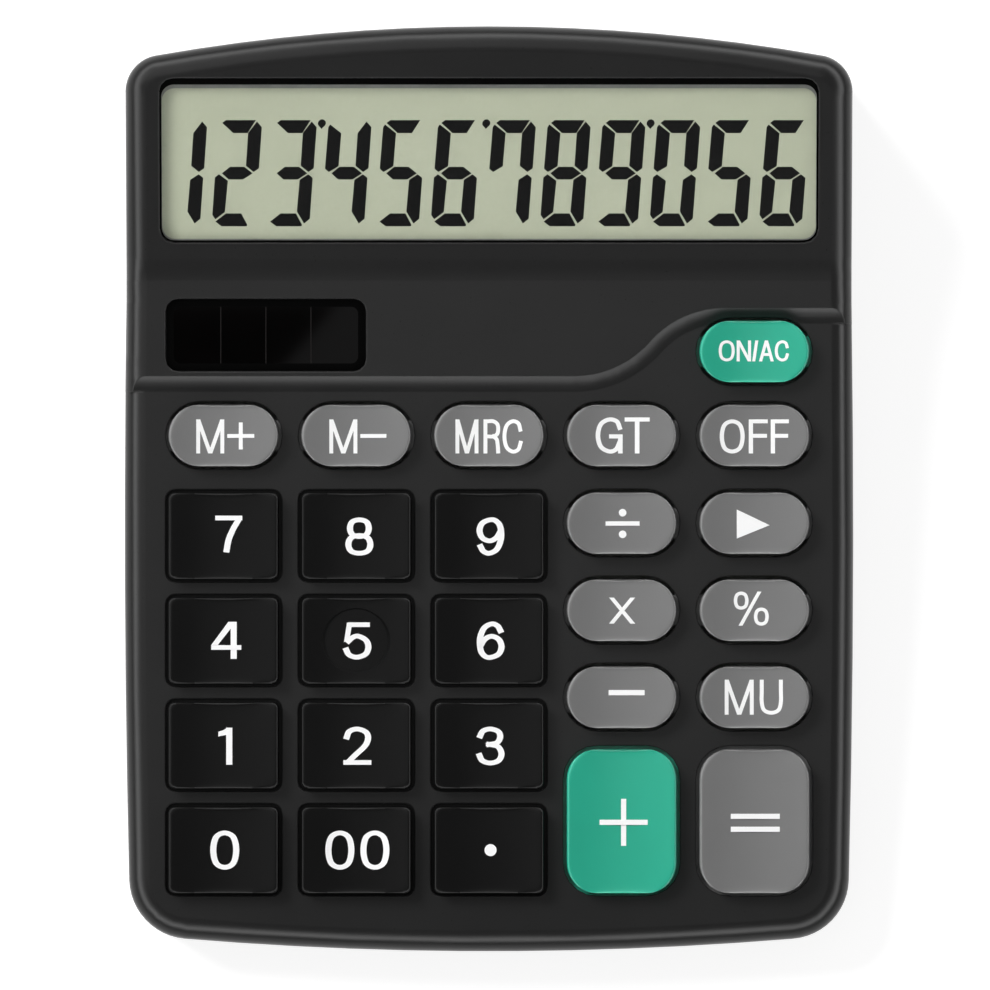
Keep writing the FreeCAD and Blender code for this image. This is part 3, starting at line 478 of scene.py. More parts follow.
def key_cap_tree():
    """A cap on its flange and stem: walls, a rounded rim, and a top of nested rings bent to a finger hollow.
    One key asks for a round dish as well."""
    tree, size = new_tree("key_cap", (
        "Width", "Length", "Corner Radius", "Foot", "Top", "Rim", "Hollow", "Flange Width", "Flange Length"),
        ("Round Dish",))
    outline = add_node(tree, "GeometryNodeCurvePrimitiveQuadrilateral", {
        "Width": size["Width"], "Height": size["Length"]})
    rounded = add_node(tree, "GeometryNodeFilletCurve", {
        "Curve": outline, "Count": corner_steps, "Radius": size["Corner Radius"],
        "Limit Radius": True}, mode="POLY")
    even = add_node(tree, "GeometryNodeSubdivideCurve", {"Curve": rounded, "Cuts": side_cuts})
    flat = add_node(tree, "GeometryNodeFillCurve", {"Curve": even}, mode="NGONS")
    clean = add_node(tree, "GeometryNodeMergeByDistance", {"Geometry": flat, "Distance": weld})
    sole = raised(tree, clean, size["Foot"])
    under = add_node(tree, "GeometryNodeFlipFaces", {"Mesh": sole})

    shoulder = add_node(tree, "ShaderNodeMath", {0: size["Top"], 1: size["Rim"]}, operation="SUBTRACT")
    wall = add_node(tree, "ShaderNodeMath", {0: shoulder, 1: size["Foot"]}, operation="SUBTRACT")
    wall_rise = add_node(tree, "ShaderNodeCombineXYZ", {"Z": wall})
    form = add_node(tree, "GeometryNodeExtrudeMesh", {
        "Mesh": sole, "Offset": wall_rise, "Offset Scale": 1.0, "Individual": False}, mode="FACES")
    place = add_node(tree, "GeometryNodeInputPosition").outputs["Position"]
    rim = add_node(tree, "ShaderNodeCombineXYZ", {"X": size["Rim"], "Y": size["Rim"], "Z": size["Rim"]})
    plan = add_node(tree, "ShaderNodeCombineXYZ", {"X": size["Width"], "Y": size["Length"], "Z": 1.0})
    top = form.outputs["Top"]
    body = form
    ring = plan
    height = 0.0
    for step in range(1, rim_steps + 1):
        turn = math.pi / 2 * step / rim_steps
        rise = add_node(tree, "ShaderNodeVectorMath", {
            0: rim, 1: (0, 0, math.sin(turn) - height)}, operation="MULTIPLY")
        height = math.sin(turn)
        taken = 2 * (math.cos(turn) - 1)
        inner = add_node(tree, "ShaderNodeVectorMath", {0: rim, 1: (taken, taken, 0), 2: plan},
            operation="MULTIPLY_ADD")
        shrink = add_node(tree, "ShaderNodeVectorMath", {0: inner, 1: ring}, operation="DIVIDE")
        ring = inner
        body, top = add_ring(tree, body, top, place, shrink, rise)
    for step in range(top_rings, 1, -1):
        share = (step - 1) / step
        body, top = add_ring(tree, body, top, place, (share, share, 1))

    spot = add_node(tree, "ShaderNodeSeparateXYZ", {"Vector": place})
    half = add_node(tree, "ShaderNodeMath", {0: size["Width"], 1: 0.5}, operation="MULTIPLY")
    share = add_node(tree, "ShaderNodeMath", {0: spot.outputs["X"], 1: half}, operation="DIVIDE")
    square = add_node(tree, "ShaderNodeMath", {0: share, 1: share}, operation="MULTIPLY")
    bend = add_node(tree, "ShaderNodeMath", {0: square, 1: 1.0}, operation="SUBTRACT")
    depth = add_node(tree, "ShaderNodeMath", {0: bend, 1: size["Hollow"]}, operation="MULTIPLY")
    upper = add_node(tree, "ShaderNodeMapRange", {
        "Value": spot.outputs["Z"], "From Min": shoulder, "From Max": size["Top"], "To Max": depth})
    sink = add_node(tree, "ShaderNodeCombineXYZ", {"Z": upper})
    bent = add_node(tree, "GeometryNodeSetPosition", {"Geometry": body, "Offset": sink})
    loose = add_node(tree, "GeometryNodeJoinGeometry", {"Geometry": [bent, under]})
    closed = add_node(tree, "GeometryNodeMergeByDistance", {"Geometry": loose, "Distance": weld})

    dish_low = add_node(tree, "ShaderNodeMath", {
        0: size["Top"], 1: cap_hollow + dish_depth}, operation="SUBTRACT")
    spread = (dish_top - dish_floor) / 2 / dish_depth
    dish = add_node(tree, "GeometryNodeMeshCone", {
        "Vertices": dish_sides, "Radius Top": dish_floor / 2 + spread, "Radius Bottom": dish_floor / 2,
        "Depth": 1.0})
    dish_cut = raised(tree, dish, dish_low)
    dished = add_node(tree, "GeometryNodeMeshBoolean", {"Mesh 1": closed, "Mesh 2": dish_cut},
        operation="DIFFERENCE", solver="EXACT")
    cap = add_node(tree, "GeometryNodeSwitch", {
        "Switch": size["Round Dish"], "False": closed, "True": dished}, input_type="GEOMETRY")

    flange_size = add_node(tree, "ShaderNodeCombineXYZ", {
        "X": size["Flange Width"], "Y": size["Flange Length"], "Z": flange_thickness})
    flange = add_node(tree, "GeometryNodeMeshCube", {"Size": flange_size})
    flange_set = raised(tree, flange, cap_foot + flange_thickness / 2)
    stem = add_node(tree, "GeometryNodeMeshCube", {"Size": (stem_width, stem_width, cap_foot - stem_foot)})
    stem_set = raised(tree, stem, (cap_foot + stem_foot) / 2)
    whole = add_node(tree, "GeometryNodeJoinGeometry", {"Geometry": [cap, flange_set, stem_set]})
    end_tree(tree, whole, size["Material"])
    return tree


def grow(tree, sizes, points=()):
    """Runs a Geometry Nodes tree on a mesh of bare points and returns what it makes as a plain mesh."""
    seed = bpy.data.meshes.new(tree.name)
    seed.from_pydata(points, [], [])
    host = new_object(tree.name, seed)
    modifier = host.modifiers.new(tree.name, "NODES")
    modifier.node_group = tree
    for socket in tree.interface.items_tree:
        if socket.in_out == "INPUT" and socket.name in sizes:
            modifier[socket.identifier] = sizes[socket.name]
    evaluated = host.evaluated_get(bpy.context.evaluated_depsgraph_get())
    mesh = bpy.data.meshes.new_from_object(evaluated)
    host.modifiers.clear()
    bpy.data.objects.remove(host)
    return mesh


def key_list():
    """Every key: name, column, place up the deck, form of cap and plastic."""
    keys = []
    number_names = (("0", "00", "point"), ("1", "2", "3"), ("4", "5", "6"), ("7", "8", "9"))
    for y, names in zip(number_rows, number_names):
        for column, name in enumerate(names):
            keys.append((name, column, y, "number", black_abs, "black_key_plastic"))
    for y, names in zip(pill_rows, (("minus", "mark_up"), ("times", "percent"), ("divide", "backspace"))):
        for column, name in enumerate(names, 3):
            keys.append((name, column, y, "pill", grey_abs, "grey_key_plastic"))
    for column, name in enumerate(("m_plus", "m_minus", "memory_recall", "grand_total", "off")):
        keys.append((name, column, memory_row, "pill", grey_abs, "grey_key_plastic"))
    keys.append(("on_clear", 4, clear_row, "pill", green_abs, "green_key_plastic"))
    keys.append(("plus", 3, tall_row, "tall", green_abs, "green_key_plastic"))
    keys.append(("equals", 4, tall_row, "tall", grey_abs, "grey_key_plastic"))
    return keys


def key_place(column, y):
    return deck @ Matrix.Translation(((column - 2) * column_pitch, y, 0))


cap_tree = key_cap_tree()
for name, column, y, form, plastic, slot in key_list():
    length, radius = cap_forms[form]
    mesh = grow(cap_tree, {
        "Width": cap_width, "Length": length, "Corner Radius": radius, "Foot": cap_foot, "Top": cap_top,
        "Rim": cap_rim, "Hollow": cap_hollow, "Flange Width": flange_width,
        "Flange Length": length / 2 if form == "pill" else length + flange_margin,
        "Round Dish": name == "5", "Material": plastic,
    })
    cap = add_piece("cap_" + name, mesh, key_place(column, y), "key_" + name, plastic)
    smooth(cap, cap_sharp)
    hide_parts("key_" + name)


# Screws under the case, grown by Geometry Nodes at six points

def screw_tree():
    """A pan head with a rounded edge and a cross recess, on a plain shank, set on each point of a mesh."""
    tree, size = new_tree("pan_screw", (
        "Head Radius", "Head Height", "Crown", "Recess Length", "Recess Width", "Recess Depth",
        "Shank Radius", "Shank Length"))
    crown_radius = add_node(tree, "ShaderNodeMath", {
        0: size["Head Radius"], 1: size["Crown"]}, operation="SUBTRACT")
    side_height = add_node(tree, "ShaderNodeMath", {
        0: size["Head Height"], 1: size["Crown"]}, operation="SUBTRACT")
    side = add_node(tree, "GeometryNodeMeshCone", {
        "Vertices": head_sides, "Radius Top": size["Head Radius"], "Radius Bottom": size["Head Radius"],
        "Depth": side_height})
    side_drop = add_node(tree, "ShaderNodeMath", {0: side_height, 1: -1.0}, operation="MULTIPLY")
    side_set = raised(tree, side, side_drop)
    crown = add_node(tree, "GeometryNodeMeshCone", {
        "Vertices": head_sides, "Radius Top": size["Head Radius"], "Radius Bottom": crown_radius,
        "Depth": size["Crown"]})
    foot = add_node(tree, "ShaderNodeMath", {0: size["Head Height"], 1: -1.0}, operation="MULTIPLY")
    crown_set = raised(tree, crown, foot)
    head_form = add_node(tree, "GeometryNodeMeshBoolean", {
        "Mesh 2": [side_set, crown_set]}, operation="UNION", solver="EXACT")
    cut_height = add_node(tree, "ShaderNodeMath", {0: size["Recess Depth"], 1: 2.0}, operation="MULTIPLY")
    recess = head_form
    for long_side, short_side in (("Recess Length", "Recess Width"), ("Recess Width", "Recess Length")):
        slot_size = add_node(tree, "ShaderNodeCombineXYZ", {
            "X": size[long_side], "Y": size[short_side], "Z": cut_height})
        slot = add_node(tree, "GeometryNodeMeshCube", {"Size": slot_size})
        slot_set = raised(tree, slot, foot)
        recess = add_node(tree, "GeometryNodeMeshBoolean", {"Mesh 1": recess, "Mesh 2": slot_set},
            operation="DIFFERENCE", solver="EXACT")
    shank = add_node(tree, "GeometryNodeMeshCylinder", {
        "Vertices": shank_sides, "Radius": size["Shank Radius"], "Depth": size["Shank Length"]})
    middle = add_node(tree, "ShaderNodeMath", {0: size["Shank Length"], 1: 0.5}, operation="MULTIPLY")
    shank_set = raised(tree, shank, middle)
    whole = add_node(tree, "GeometryNodeJoinGeometry", {"Geometry": [recess, shank_set]})
    spread = add_node(tree, "GeometryNodeInstanceOnPoints", {"Points": size["Points"], "Instance": whole})
    end_tree(tree, spread, size["Material"])
    return tree


screw_points = [(side * x, y, screw_seat) for x, y in screw_places for side in (-1, 1)]
screw_mesh = grow(screw_tree(), {
    "Head Radius": screw_head_radius, "Head Height": screw_head_height, "Crown": screw_crown,
    "Recess Length": recess_length, "Recess Width": recess_width, "Recess Depth": recess_depth,
    "Shank Radius": shank_radius, "Shank Length": shank_length, "Material": screw_steel}, screw_points)
screws = add_piece("pan_screws", screw_mesh, deck, "case", screw_steel)
smooth(screws, screw_sharp)
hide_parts("case_screws")


# Legends, drawn as strokes in a unit box whose sides are the middles of the outermost strokes

def loop(x, y, half_width, half_height):
    """A closed round stroke, a little squarer than an ellipse."""
    shoulder = 0.75
    sides = ((0, 1), (shoulder, shoulder), (1, 0), (shoulder, -shoulder),
             (0, -1), (-shoulder, -shoulder), (-1, 0), (-shoulder, shoulder))
    return "loop", [(x + a * half_width, y + b * half_height) for a, b in sides]


six = [(0.95, 0.8), (0.82, 0.94), (0.55, 1), (0.2, 0.87), (0.02, 0.55), (0.06, 0.2), (0.26, 0.03), (0.52, 0),
       (0.87, 0.1), (1, 0.32), (0.87, 0.54), (0.54, 0.63), (0.24, 0.54), (0.06, 0.36)]
glyphs = {
    "0": [loop(0.5, 0.5, 0.5, 0.5)],
    "1": [("run", [(1, 1), (1, 0)]),
          ("shape", [(0, 0.765), (0, 0.89), (0.4, 0.94), (0.62, 1), (0.62, 0.81)])],
    "2": [("bow", [(0.02, 0.76), (0.14, 0.93), (0.5, 1), (0.88, 0.91), (0.99, 0.73), (0.85, 0.5),
                   (0.45, 0.25), (0.14, 0.05)]),
          ("run", [(0, 0), (1, 0)])],
    "3": [("bow", [(0.03, 0.8), (0.16, 0.94), (0.48, 1), (0.84, 0.93), (0.94, 0.77), (0.8, 0.6),
                   (0.44, 0.545)]),
          ("bow", [(0.44, 0.545), (0.84, 0.48), (1, 0.27), (0.86, 0.07), (0.48, 0), (0.13, 0.07),
                   (0, 0.22)])],
    "4": [("run", [(0.81, 1), (0.81, 0)]), ("run", [(0, 0.28), (1, 0.28)]),
          ("shape", [(0, 0.375), (0.57, 1), (0.84, 1), (0.66, 0.83), (0.22, 0.375)])],
    "5": [("run", [(0.2, 1), (0.93, 1)]), ("shape", [(0.13, 1), (0.3, 0.9), (0.23, 0.6), (0.02, 0.46)]),
          ("bow", [(0.1, 0.5), (0.27, 0.6), (0.52, 0.65), (0.88, 0.53), (1, 0.32), (0.88, 0.1), (0.48, 0),
                   (0.13, 0.07), (0, 0.22)])],
    "6": [("bow", six)],
    "7": [("run", [(0, 1), (1, 1)]), ("bow", [(0.96, 0.94), (0.72, 0.68), (0.5, 0.36), (0.4, 0.04)])],
    "8": [loop(0.5, 0.75, 0.43, 0.25), loop(0.5, 0.265, 0.5, 0.265)],
    "9": [("bow", [(1 - x, 1 - y) for x, y in six])],
    "A": [("limb", [(0, 0), (0.5, 1)]), ("limb", [(1, 0), (0.5, 1)]), ("run", [(0.3, 0.3), (0.7, 0.3)])],
    "C": [("bow", [(0.98, 0.72), (0.86, 0.93), (0.5, 1), (0.13, 0.85), (0, 0.5), (0.13, 0.15), (0.5, 0),
                   (0.86, 0.07), (1, 0.29)])],
    "F": [("run", [(0, 0), (0, 1), (1, 1)]), ("run", [(0, 0.52), (0.95, 0.52)])],
    "G": [("bow", [(0.97, 0.74), (0.84, 0.94), (0.5, 1), (0.13, 0.85), (0, 0.5), (0.13, 0.15), (0.5, 0),
                   (0.8, 0.06), (0.95, 0.26)]), ("run", [(1, 0), (1, 0.47), (0.6, 0.47)])],
    "M": [("run", [(0, 0), (0, 1)]), ("run", [(1, 0), (1, 1)]),
          ("limb", [(0, 1), (0.5, 0)]), ("limb", [(1, 1), (0.5, 0)])],
    "N": [("run", [(0, 0), (0, 1)]), ("run", [(1, 0), (1, 1)]), ("limb", [(0, 1), (1, 0)])],
    "O": [loop(0.5, 0.5, 0.5, 0.5)],
    "R": [("run", [(0, 0), (0, 1)]), ("bow", [(0.2, 1), (0.6, 1), (0.9, 0.91), (0.97, 0.75), (0.9, 0.58),
                                              (0.6, 0.5), (0.2, 0.5)]),
          ("bow", [(0.6, 0.5), (0.86, 0.4), (0.94, 0.2), (0.97, 0)])],
    "T": [("run", [(0, 1), (1, 1)]), ("run", [(0.5, 1), (0.5, 0)])],
    "U": [("bow", [(0, 1), (0, 0.7), (0, 0.35), (0.12, 0.09), (0.5, 0), (0.88, 0.09), (1, 0.35),
                   (1, 0.7), (1, 1)])],
    "plus": [("run", [(0, 0.5), (1, 0.5)]), ("run", [(0.5, 0), (0.5, 1)])],
    "minus": [("run", [(0, 0.5), (1, 0.5)])],
    "equals": [("run", [(0, 0), (1, 0)]), ("run", [(0, 1), (1, 1)])],
    "times": [("limb", [(0, 0), (1, 1)]), ("limb", [(0, 1), (1, 0)])],
    "divide": [("run", [(0, 0.5), (1, 0.5)]), ("dot", [(0.5, 0)]), ("dot", [(0.5, 1)])],
    "percent": [loop(0.18, 0.76, 0.18, 0.24), loop(0.82, 0.24, 0.18, 0.24), ("limb", [(0.16, 0), (0.76, 1)])],
    "slash": [("limb", [(0, 0), (1, 1)])],
    "point": [("dot", [(0.5, 0.5)])],
    "forward": [("shape", [(0, 0), (1, 0.46), (0, 1)])],
}

# Each legend: width of its upright and level strokes, then its glyphs with their middles and sizes
digit_stroke = (1.0, 0.76)
letter_stroke = (0.64, 0.62)
legends = {
    "0": (digit_stroke, [("0", 0.2, 0, 4.77, 6.41)]),
    "00": (digit_stroke, [("0", -2.69, 0, 4.77, 6.41), ("0", 3.06, 0, 4.77, 6.41)]),
    "point": ((1.97, 1.97), [("point", 0.25, 0, 1.97, 1.97)]),
    "1": (digit_stroke, [("1", 0.29, -0.14, 2.3, 6.08)]),
    "2": (digit_stroke, [("2", 0.18, -0.06, 4.6, 6.25)]),
    "3": (digit_stroke, [("3", 0.25, -0.1, 4.6, 6.35)]),
    "4": (digit_stroke, [("4", 0.45, 0.05, 4.93, 6.08)]),
    "5": (digit_stroke, [("5", 0.18, -0.05, 4.6, 6.1)]),
    "6": (digit_stroke, [("6", 0.25, 0, 4.6, 6.25)]),
    "7": (digit_stroke, [("7", 0.86, 0.2, 4.44, 6.25)]),
    "8": (digit_stroke, [("8", 0.51, -0.1, 4.6, 6.25)]),
    "9": (digit_stroke, [("9", 0.25, -0.1, 4.6, 6.25)]),
    "m_plus": (letter_stroke, [("M", -2.18, -0.16, 4.6, 5.59), ("plus", 2.83, -0.08, 4.44, 4.44)]),
    "m_minus": (letter_stroke, [("M", -2.12, -0.16, 4.6, 5.59), ("minus", 2.81, -0.08, 4.27, 0.7)]),
    "memory_recall": (letter_stroke, [("M", -3.62, -0.16, 3.78, 5.59), ("R", 0.49, -0.16, 2.79, 5.59),
                                      ("C", 3.86, -0.16, 3.29, 5.59)]),
    "grand_total": ((0.76, 0.68), [("G", -2.07, 0, 4.44, 5.92), ("T", 2.53, 0, 4.11, 5.92)]),
    "off": ((0.7, 0.64), [("O", -3.66, -0.16, 4.11, 5.59), ("F", 0.62, -0.16, 3.12, 5.59),
                          ("F", 4.15, -0.16, 2.96, 5.59)]),
    "on_clear": ((0.5, 0.46), [("O", -4.56, 0.09, 2.63, 3.45), ("N", -1.74, 0.09, 2.36, 3.45),
                               ("slash", 0.13, 0.09, 1.0, 3.45), ("A", 1.96, 0.09, 2.42, 3.45),
                               ("C", 4.48, 0.09, 2.3, 3.45)]),
    "backspace": (letter_stroke, [("forward", -0.2, -0.15, 5.42, 4.77)]),
    "divide": ((1.25, 0.72), [("divide", 0.14, -0.06, 5.59, 4.27)]),
    "times": ((0.62, 0.62), [("times", 0.06, -0.06, 4.11, 4.27)]),
    "percent": ((0.57, 0.55), [("percent", -0.53, 0.26, 5.75, 5.59)]),
    "mark_up": (letter_stroke, [("M", -2.51, 0.02, 4.77, 5.75), ("U", 2.76, 0.02, 3.78, 5.75)]),
    "minus": ((0.8, 0.86), [("minus", 0.8, 0.76, 5.92, 0.86)]),
    "plus": ((0.84, 0.84), [("plus", 0.31, -0.18, 7.89, 7.73)]),
    "equals": ((0.84, 0.84), [("equals", 0.13, -0.26, 8.05, 2.96)]),
}


def curve_through(points, closed):
    """Many points along a smooth curve through a few."""
    count = len(points)
    spans = count if closed else count - 1
    steps = 8
    made = []
    for span in range(spans):
        around = []
        for offset in (-1, 0, 1, 2):
            index = (span + offset) % count if closed else min(max(span + offset, 0), count - 1)
            around.append(points[index])
        a, b, c, d = around
        for i in range(steps):
            t = i / steps
            made.append(0.5 * (2 * b + (c - a) * t + (2 * a - 5 * b + 4 * c - d) * t ** 2
                               + (3 * b - a - 3 * c + d) * t ** 3))
    if not closed:
        made.append(points[-1])
    return made


def stroke_sides(points, stroke, closed):
    """The two sides of a stroke along a line; open ends run on by half a stroke."""
    half = Vector((stroke[0] / 2, stroke[1] / 2))
    if not closed:
        points = list(points)
        for end, inner in ((0, 1), (-1, -2)):
            away = (points[end] - points[inner]).normalized()
            points[end] = points[end] + away * Vector((away.x * half.x, away.y * half.y)).length
    left = []
    right = []
    count = len(points)
    for i, here in enumerate(points):
        before = points[i - 1] if i or closed else here
        after = points[(i + 1) % count] if i < count - 1 or closed else here
        arriving = (here - before).normalized() if before is not here else (after - here).normalized()
        leaving = (after - here).normalized() if after is not here else arriving
        across = (arriving + leaving).normalized().orthogonal()
        reach = 1 / max(across.dot(leaving.orthogonal()), 0.5)
        offset = Vector((across.x * half.x, across.y * half.y)) * reach
        left.append(here + offset)
        right.append(here - offset)
    return left, right


def glyph_faces(strokes, stroke, width, height):
    """Flat polygons of one glyph, about the middle of its box."""
    inner = Vector((width - stroke[0], max(height - stroke[1], 0)))
    faces = []
    for kind, points in strokes:
        if kind == "shape":
            faces.append([Vector(((x - 0.5) * width, (y - 0.5) * height)) for x, y in points])
            continue
        middles = [Vector(((x - 0.5) * inner.x, (y - 0.5) * inner.y)) for x, y in points]
        if kind == "dot":
            angles = [math.pi / 16 * i for i in range(32)]
            radius = stroke[0] / 2
            faces.append([middles[0] + radius * Vector((math.cos(a), math.sin(a))) for a in angles])
        elif kind == "limb":
            start, end = middles
            start.y = math.copysign(height / 2, start.y)
            end.y = math.copysign(height / 2, end.y)
            run = (end - start).length / abs(end.y - start.y)
            side = Vector((stroke[0] * run / 2, 0))
            faces.append([start - side, start + side, end + side, end - side])
        else:
            closed = kind == "loop"
            line = middles if kind == "run" else curve_through(middles, closed)
            left, right = stroke_sides(line, stroke, closed)
            for i in range(len(line) if closed else len(line) - 1):
                j = (i + 1) % len(line)
                faces.append([left[i], left[j], right[j], right[i]])
    return faces


def cap_level(x, name):
    """Height of the cap's surface at a place across it."""
    if name == "5":
        return cap_top - cap_hollow - dish_depth
    return cap_top - cap_hollow * (1 - (2 * x / cap_width) ** 2)


def legend_mesh(name):
    stroke, parts = legends[name]
    bm = bmesh.new()
    lift = ink_lift
    for glyph, x, y, width, height in parts:
        for strokes in glyphs[glyph]:
            lift += ink_step
            corners = {}
            tops = []
            for outline in glyph_faces([strokes], stroke, width, height):
                spots = [(round(p.x + x, 5), round(p.y + y, 5)) for p in outline]
                for spot in spots:
                    if spot not in corners:
                        corners[spot] = bm.verts.new((*spot, cap_level(spot[0], name) + lift))
                tops.append(bm.faces.new([corners[spot] for spot in spots]))
            deepen(bm, tops, lift + ink_sink)
    bmesh.ops.recalc_face_normals(bm, faces=bm.faces)
    return mesh_from(bm, "legend_" + name)


for name, column, y, form, plastic, slot in key_list():
    add_piece("legend_" + name, legend_mesh(name), key_place(column, y), "key_" + name, white_ink)


# Display: clear plate, a grey band of painted highlight on its edge, a black band of painted shade in its
# recess, twelve digits and three separators

def band_mesh(name, outer, inner, top):
    """A thin band between two outlines with as many points, for ink and for painted highlight and shade."""
    bm = bmesh.new()
    ring = [[bm.verts.new((x, y, top)) for x, y in points] for points in (outer, inner)]
    tops = []
    for i in range(len(outer)):
        j = (i + 1) % len(outer)
        tops.append(bm.faces.new([ring[0][i], ring[0][j], ring[1][j], ring[1][i]]))
    deepen(bm, tops, ink_film)
    bmesh.ops.recalc_face_normals(bm, faces=bm.faces)
    return mesh_from(bm, name)


# Outlines of the seven bars of a digit, upright, from its lower left corner
bars = {
    "top": [(0.58, 17.26), (1.18, 17.73), (6.07, 17.73), (4.87, 15.56), (2.51, 15.56)],
    "upper_left": [(0.35, 17.0), (2.26, 15.55), (2.2, 10.03), (0.67, 9.07), (0.0, 9.62), (0.06, 16.55)],
    "upper_right": [(6.27, 17.5), (7.14, 16.55), (7.14, 9.7), (6.3, 9.07), (4.97, 10.1), (4.94, 15.56)],
    "middle": [(1.1, 8.85), (2.36, 9.94), (4.72, 9.94), (6.14, 8.85), (4.65, 7.82), (2.28, 7.82)],
    "lower_left": [(0.63, 8.69), (2.18, 7.61), (2.04, 2.38), (0.55, 1.18), (0.0, 1.9), (0.0, 8.17)],
    "lower_right": [(6.3, 8.69), (7.08, 8.09), (7.08, 1.26), (6.18, 0.46), (4.86, 2.46), (4.95, 7.77)],
    "bottom": [(0.57, 0.78), (2.22, 2.15), (4.74, 2.15), (5.88, 0.22), (5.74, 0.0), (1.65, 0.0)],
}
lit = {
    "0": "top upper_left upper_right lower_left lower_right bottom",
    "1": "upper_right lower_right",
    "2": "top upper_right middle lower_left bottom",
    "3": "top upper_right middle lower_right bottom",
    "4": "upper_left upper_right middle lower_right",
    "5": "top upper_left middle lower_right bottom",
    "6": "top upper_left middle lower_left lower_right bottom",
    "7": "top upper_left upper_right lower_right",
    "8": "top upper_left upper_right middle lower_left lower_right bottom",
    "9": "top upper_left upper_right middle lower_right bottom",
}
shown = "123456789056"
digit_height = 17.73
drop_x = 7.95  # separator drop behind every third digit
drop_y = 17.2
drop_tip = 16.25
drop_radius = 0.66


def leaning(points, x):
    """An outline of the digit at the given place, leant over."""
    return [(x + px + (py - digit_height / 2) * digit_lean, digit_foot + py) for px, py in points]


def digit_outlines():
    angles = [math.pi / 12 * i for i in range(-4, 17)]
    drop = [(drop_x + drop_radius * math.cos(a), drop_y + drop_radius * math.sin(a)) for a in angles]
    drop.append((drop_x, drop_tip))
    made = []
    for place, digit in enumerate(shown):
        x = first_digit_x + place * digit_pitch
        made += [leaning(bars[bar], x) for bar in lit[digit].split()]
        if place in separator_places:
            made.append(leaning(drop, x))
    return made


half_plate = plate_width / 2
plate_outline = rounded_outline(-half_plate, half_plate, plate_front, plate_rear, plate_radius)
window_mesh = plates_mesh("window_plate", [plate_outline], plate_low, plate_top)
window = add_piece("window_plate", window_mesh, head, "case", acrylic)
window.visible_shadow = False
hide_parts("display_window")
# Painted highlight: a grey band under the plate's edge, widest at the rear, stands in for light caught on
# that edge
shown_outline = rounded_outline(-half_plate + edge_highlight_side, half_plate - edge_highlight_side,
                                plate_front + edge_highlight_side, plate_rear - edge_highlight_rear, plate_radius)
plate_edge_highlight = band_mesh("plate_edge_highlight", plate_outline, shown_outline, plate_low - ink_lift + ink_film)
add_piece("plate_edge_highlight", plate_edge_highlight, head, "case", edge_highlight_paint)
# Painted shade: a black band fills the window's recess round the plate, widest at the rear, where the recess
# lies in shade
frame_outline = rounded_outline(-half_plate - shade_band_reach, half_plate + shade_band_reach,
                                plate_front - shade_band_reach, plate_rear + shade_band_rear,
                                plate_radius + shade_band_reach)
lip_outline = rounded_outline(-half_plate + shade_band_lip, half_plate - shade_band_lip, plate_front + shade_band_lip,
                              plate_rear, plate_radius)
window_shade_band = band_mesh("painted_window_shade", frame_outline, lip_outline, plate_top + ink_lift)
add_piece("painted_window_shade", window_shade_band, head, "case", segment_and_shade_ink)
digits_mesh = plates_mesh("display_digits", digit_outlines(), glass_top + ink_lift - ink_film,
                          glass_top + ink_lift)
add_piece("display_digits", digits_mesh, head, "case", segment_and_shade_ink)

# Solar strip: silicon behind cover glass as one dark plate, an ink border and silver lines
solar_left = solar_x - solar_width / 2
solar_right = solar_x + solar_width / 2
solar_front = solar_y - solar_length / 2
solar_rear = solar_y + solar_length / 2
solar_outline = rounded_outline(solar_left, solar_right, solar_front, solar_rear, solar_radius)
solar_mesh = plates_mesh("solar_plate", [solar_outline], solar_plate_low, solar_plate_top)
solar_plate = add_piece("solar_plate", solar_mesh, deck, "case", silicon)
solar_open = rounded_outline(solar_left + solar_border, solar_right - solar_border,
                             solar_front + solar_border, solar_rear - solar_border, solar_border)
solar_band = band_mesh("solar_border", solar_outline, solar_open, solar_plate_top + ink_lift)
add_piece("solar_border", solar_band, deck, "case", segment_and_shade_ink)
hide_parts("solar_window")

# Thin silver lines between the four cells of the strip
divider_low = solar_front + solar_border
divider_high = solar_rear - solar_border
divider_outlines = []
for i in (-1, 0, 1):
    left = solar_x + i * solar_cell_pitch - solar_divider / 2
    right = left + solar_divider
    divider_outlines.append([
        (left, divider_low), (right, divider_low), (right, divider_high), (left, divider_high)])
dividers = plates_mesh("solar_dividers", divider_outlines, solar_plate_top + ink_lift - ink_film,
                       solar_plate_top + ink_lift)
add_piece("solar_dividers", dividers, deck, "case", silver_paste)


# Stage: camera, floor, lamps and cards

def aim(made, target):
    made.rotation_euler = (target - made.location).to_track_quat("-Z", "Y").to_euler()


def set_camera():
    data = bpy.data.cameras.new("camera")
    data.lens = lens
    data.sensor_width = sensor
    data.clip_end = 100
    distance = picture_width / sensor * lens
    made = new_object("camera", data)
    place = deck @ Vector((picture_x, picture_y, distance))
    made.matrix_world = Matrix.Translation(place) @ Matrix.Rotation(deck_slope, 4, "X")
    bpy.context.scene.camera = made


def add_lamp(name, place, size, power):
    data = bpy.data.lights.new(name, "AREA")
    data.shape = "DISK"
    data.size = size
    data.energy = power
    made = new_object(name, data)
    made.location = Vector(place)
    made.visible_glossy = False
    made.visible_transmission = False
    aim(made, Vector(key_target))


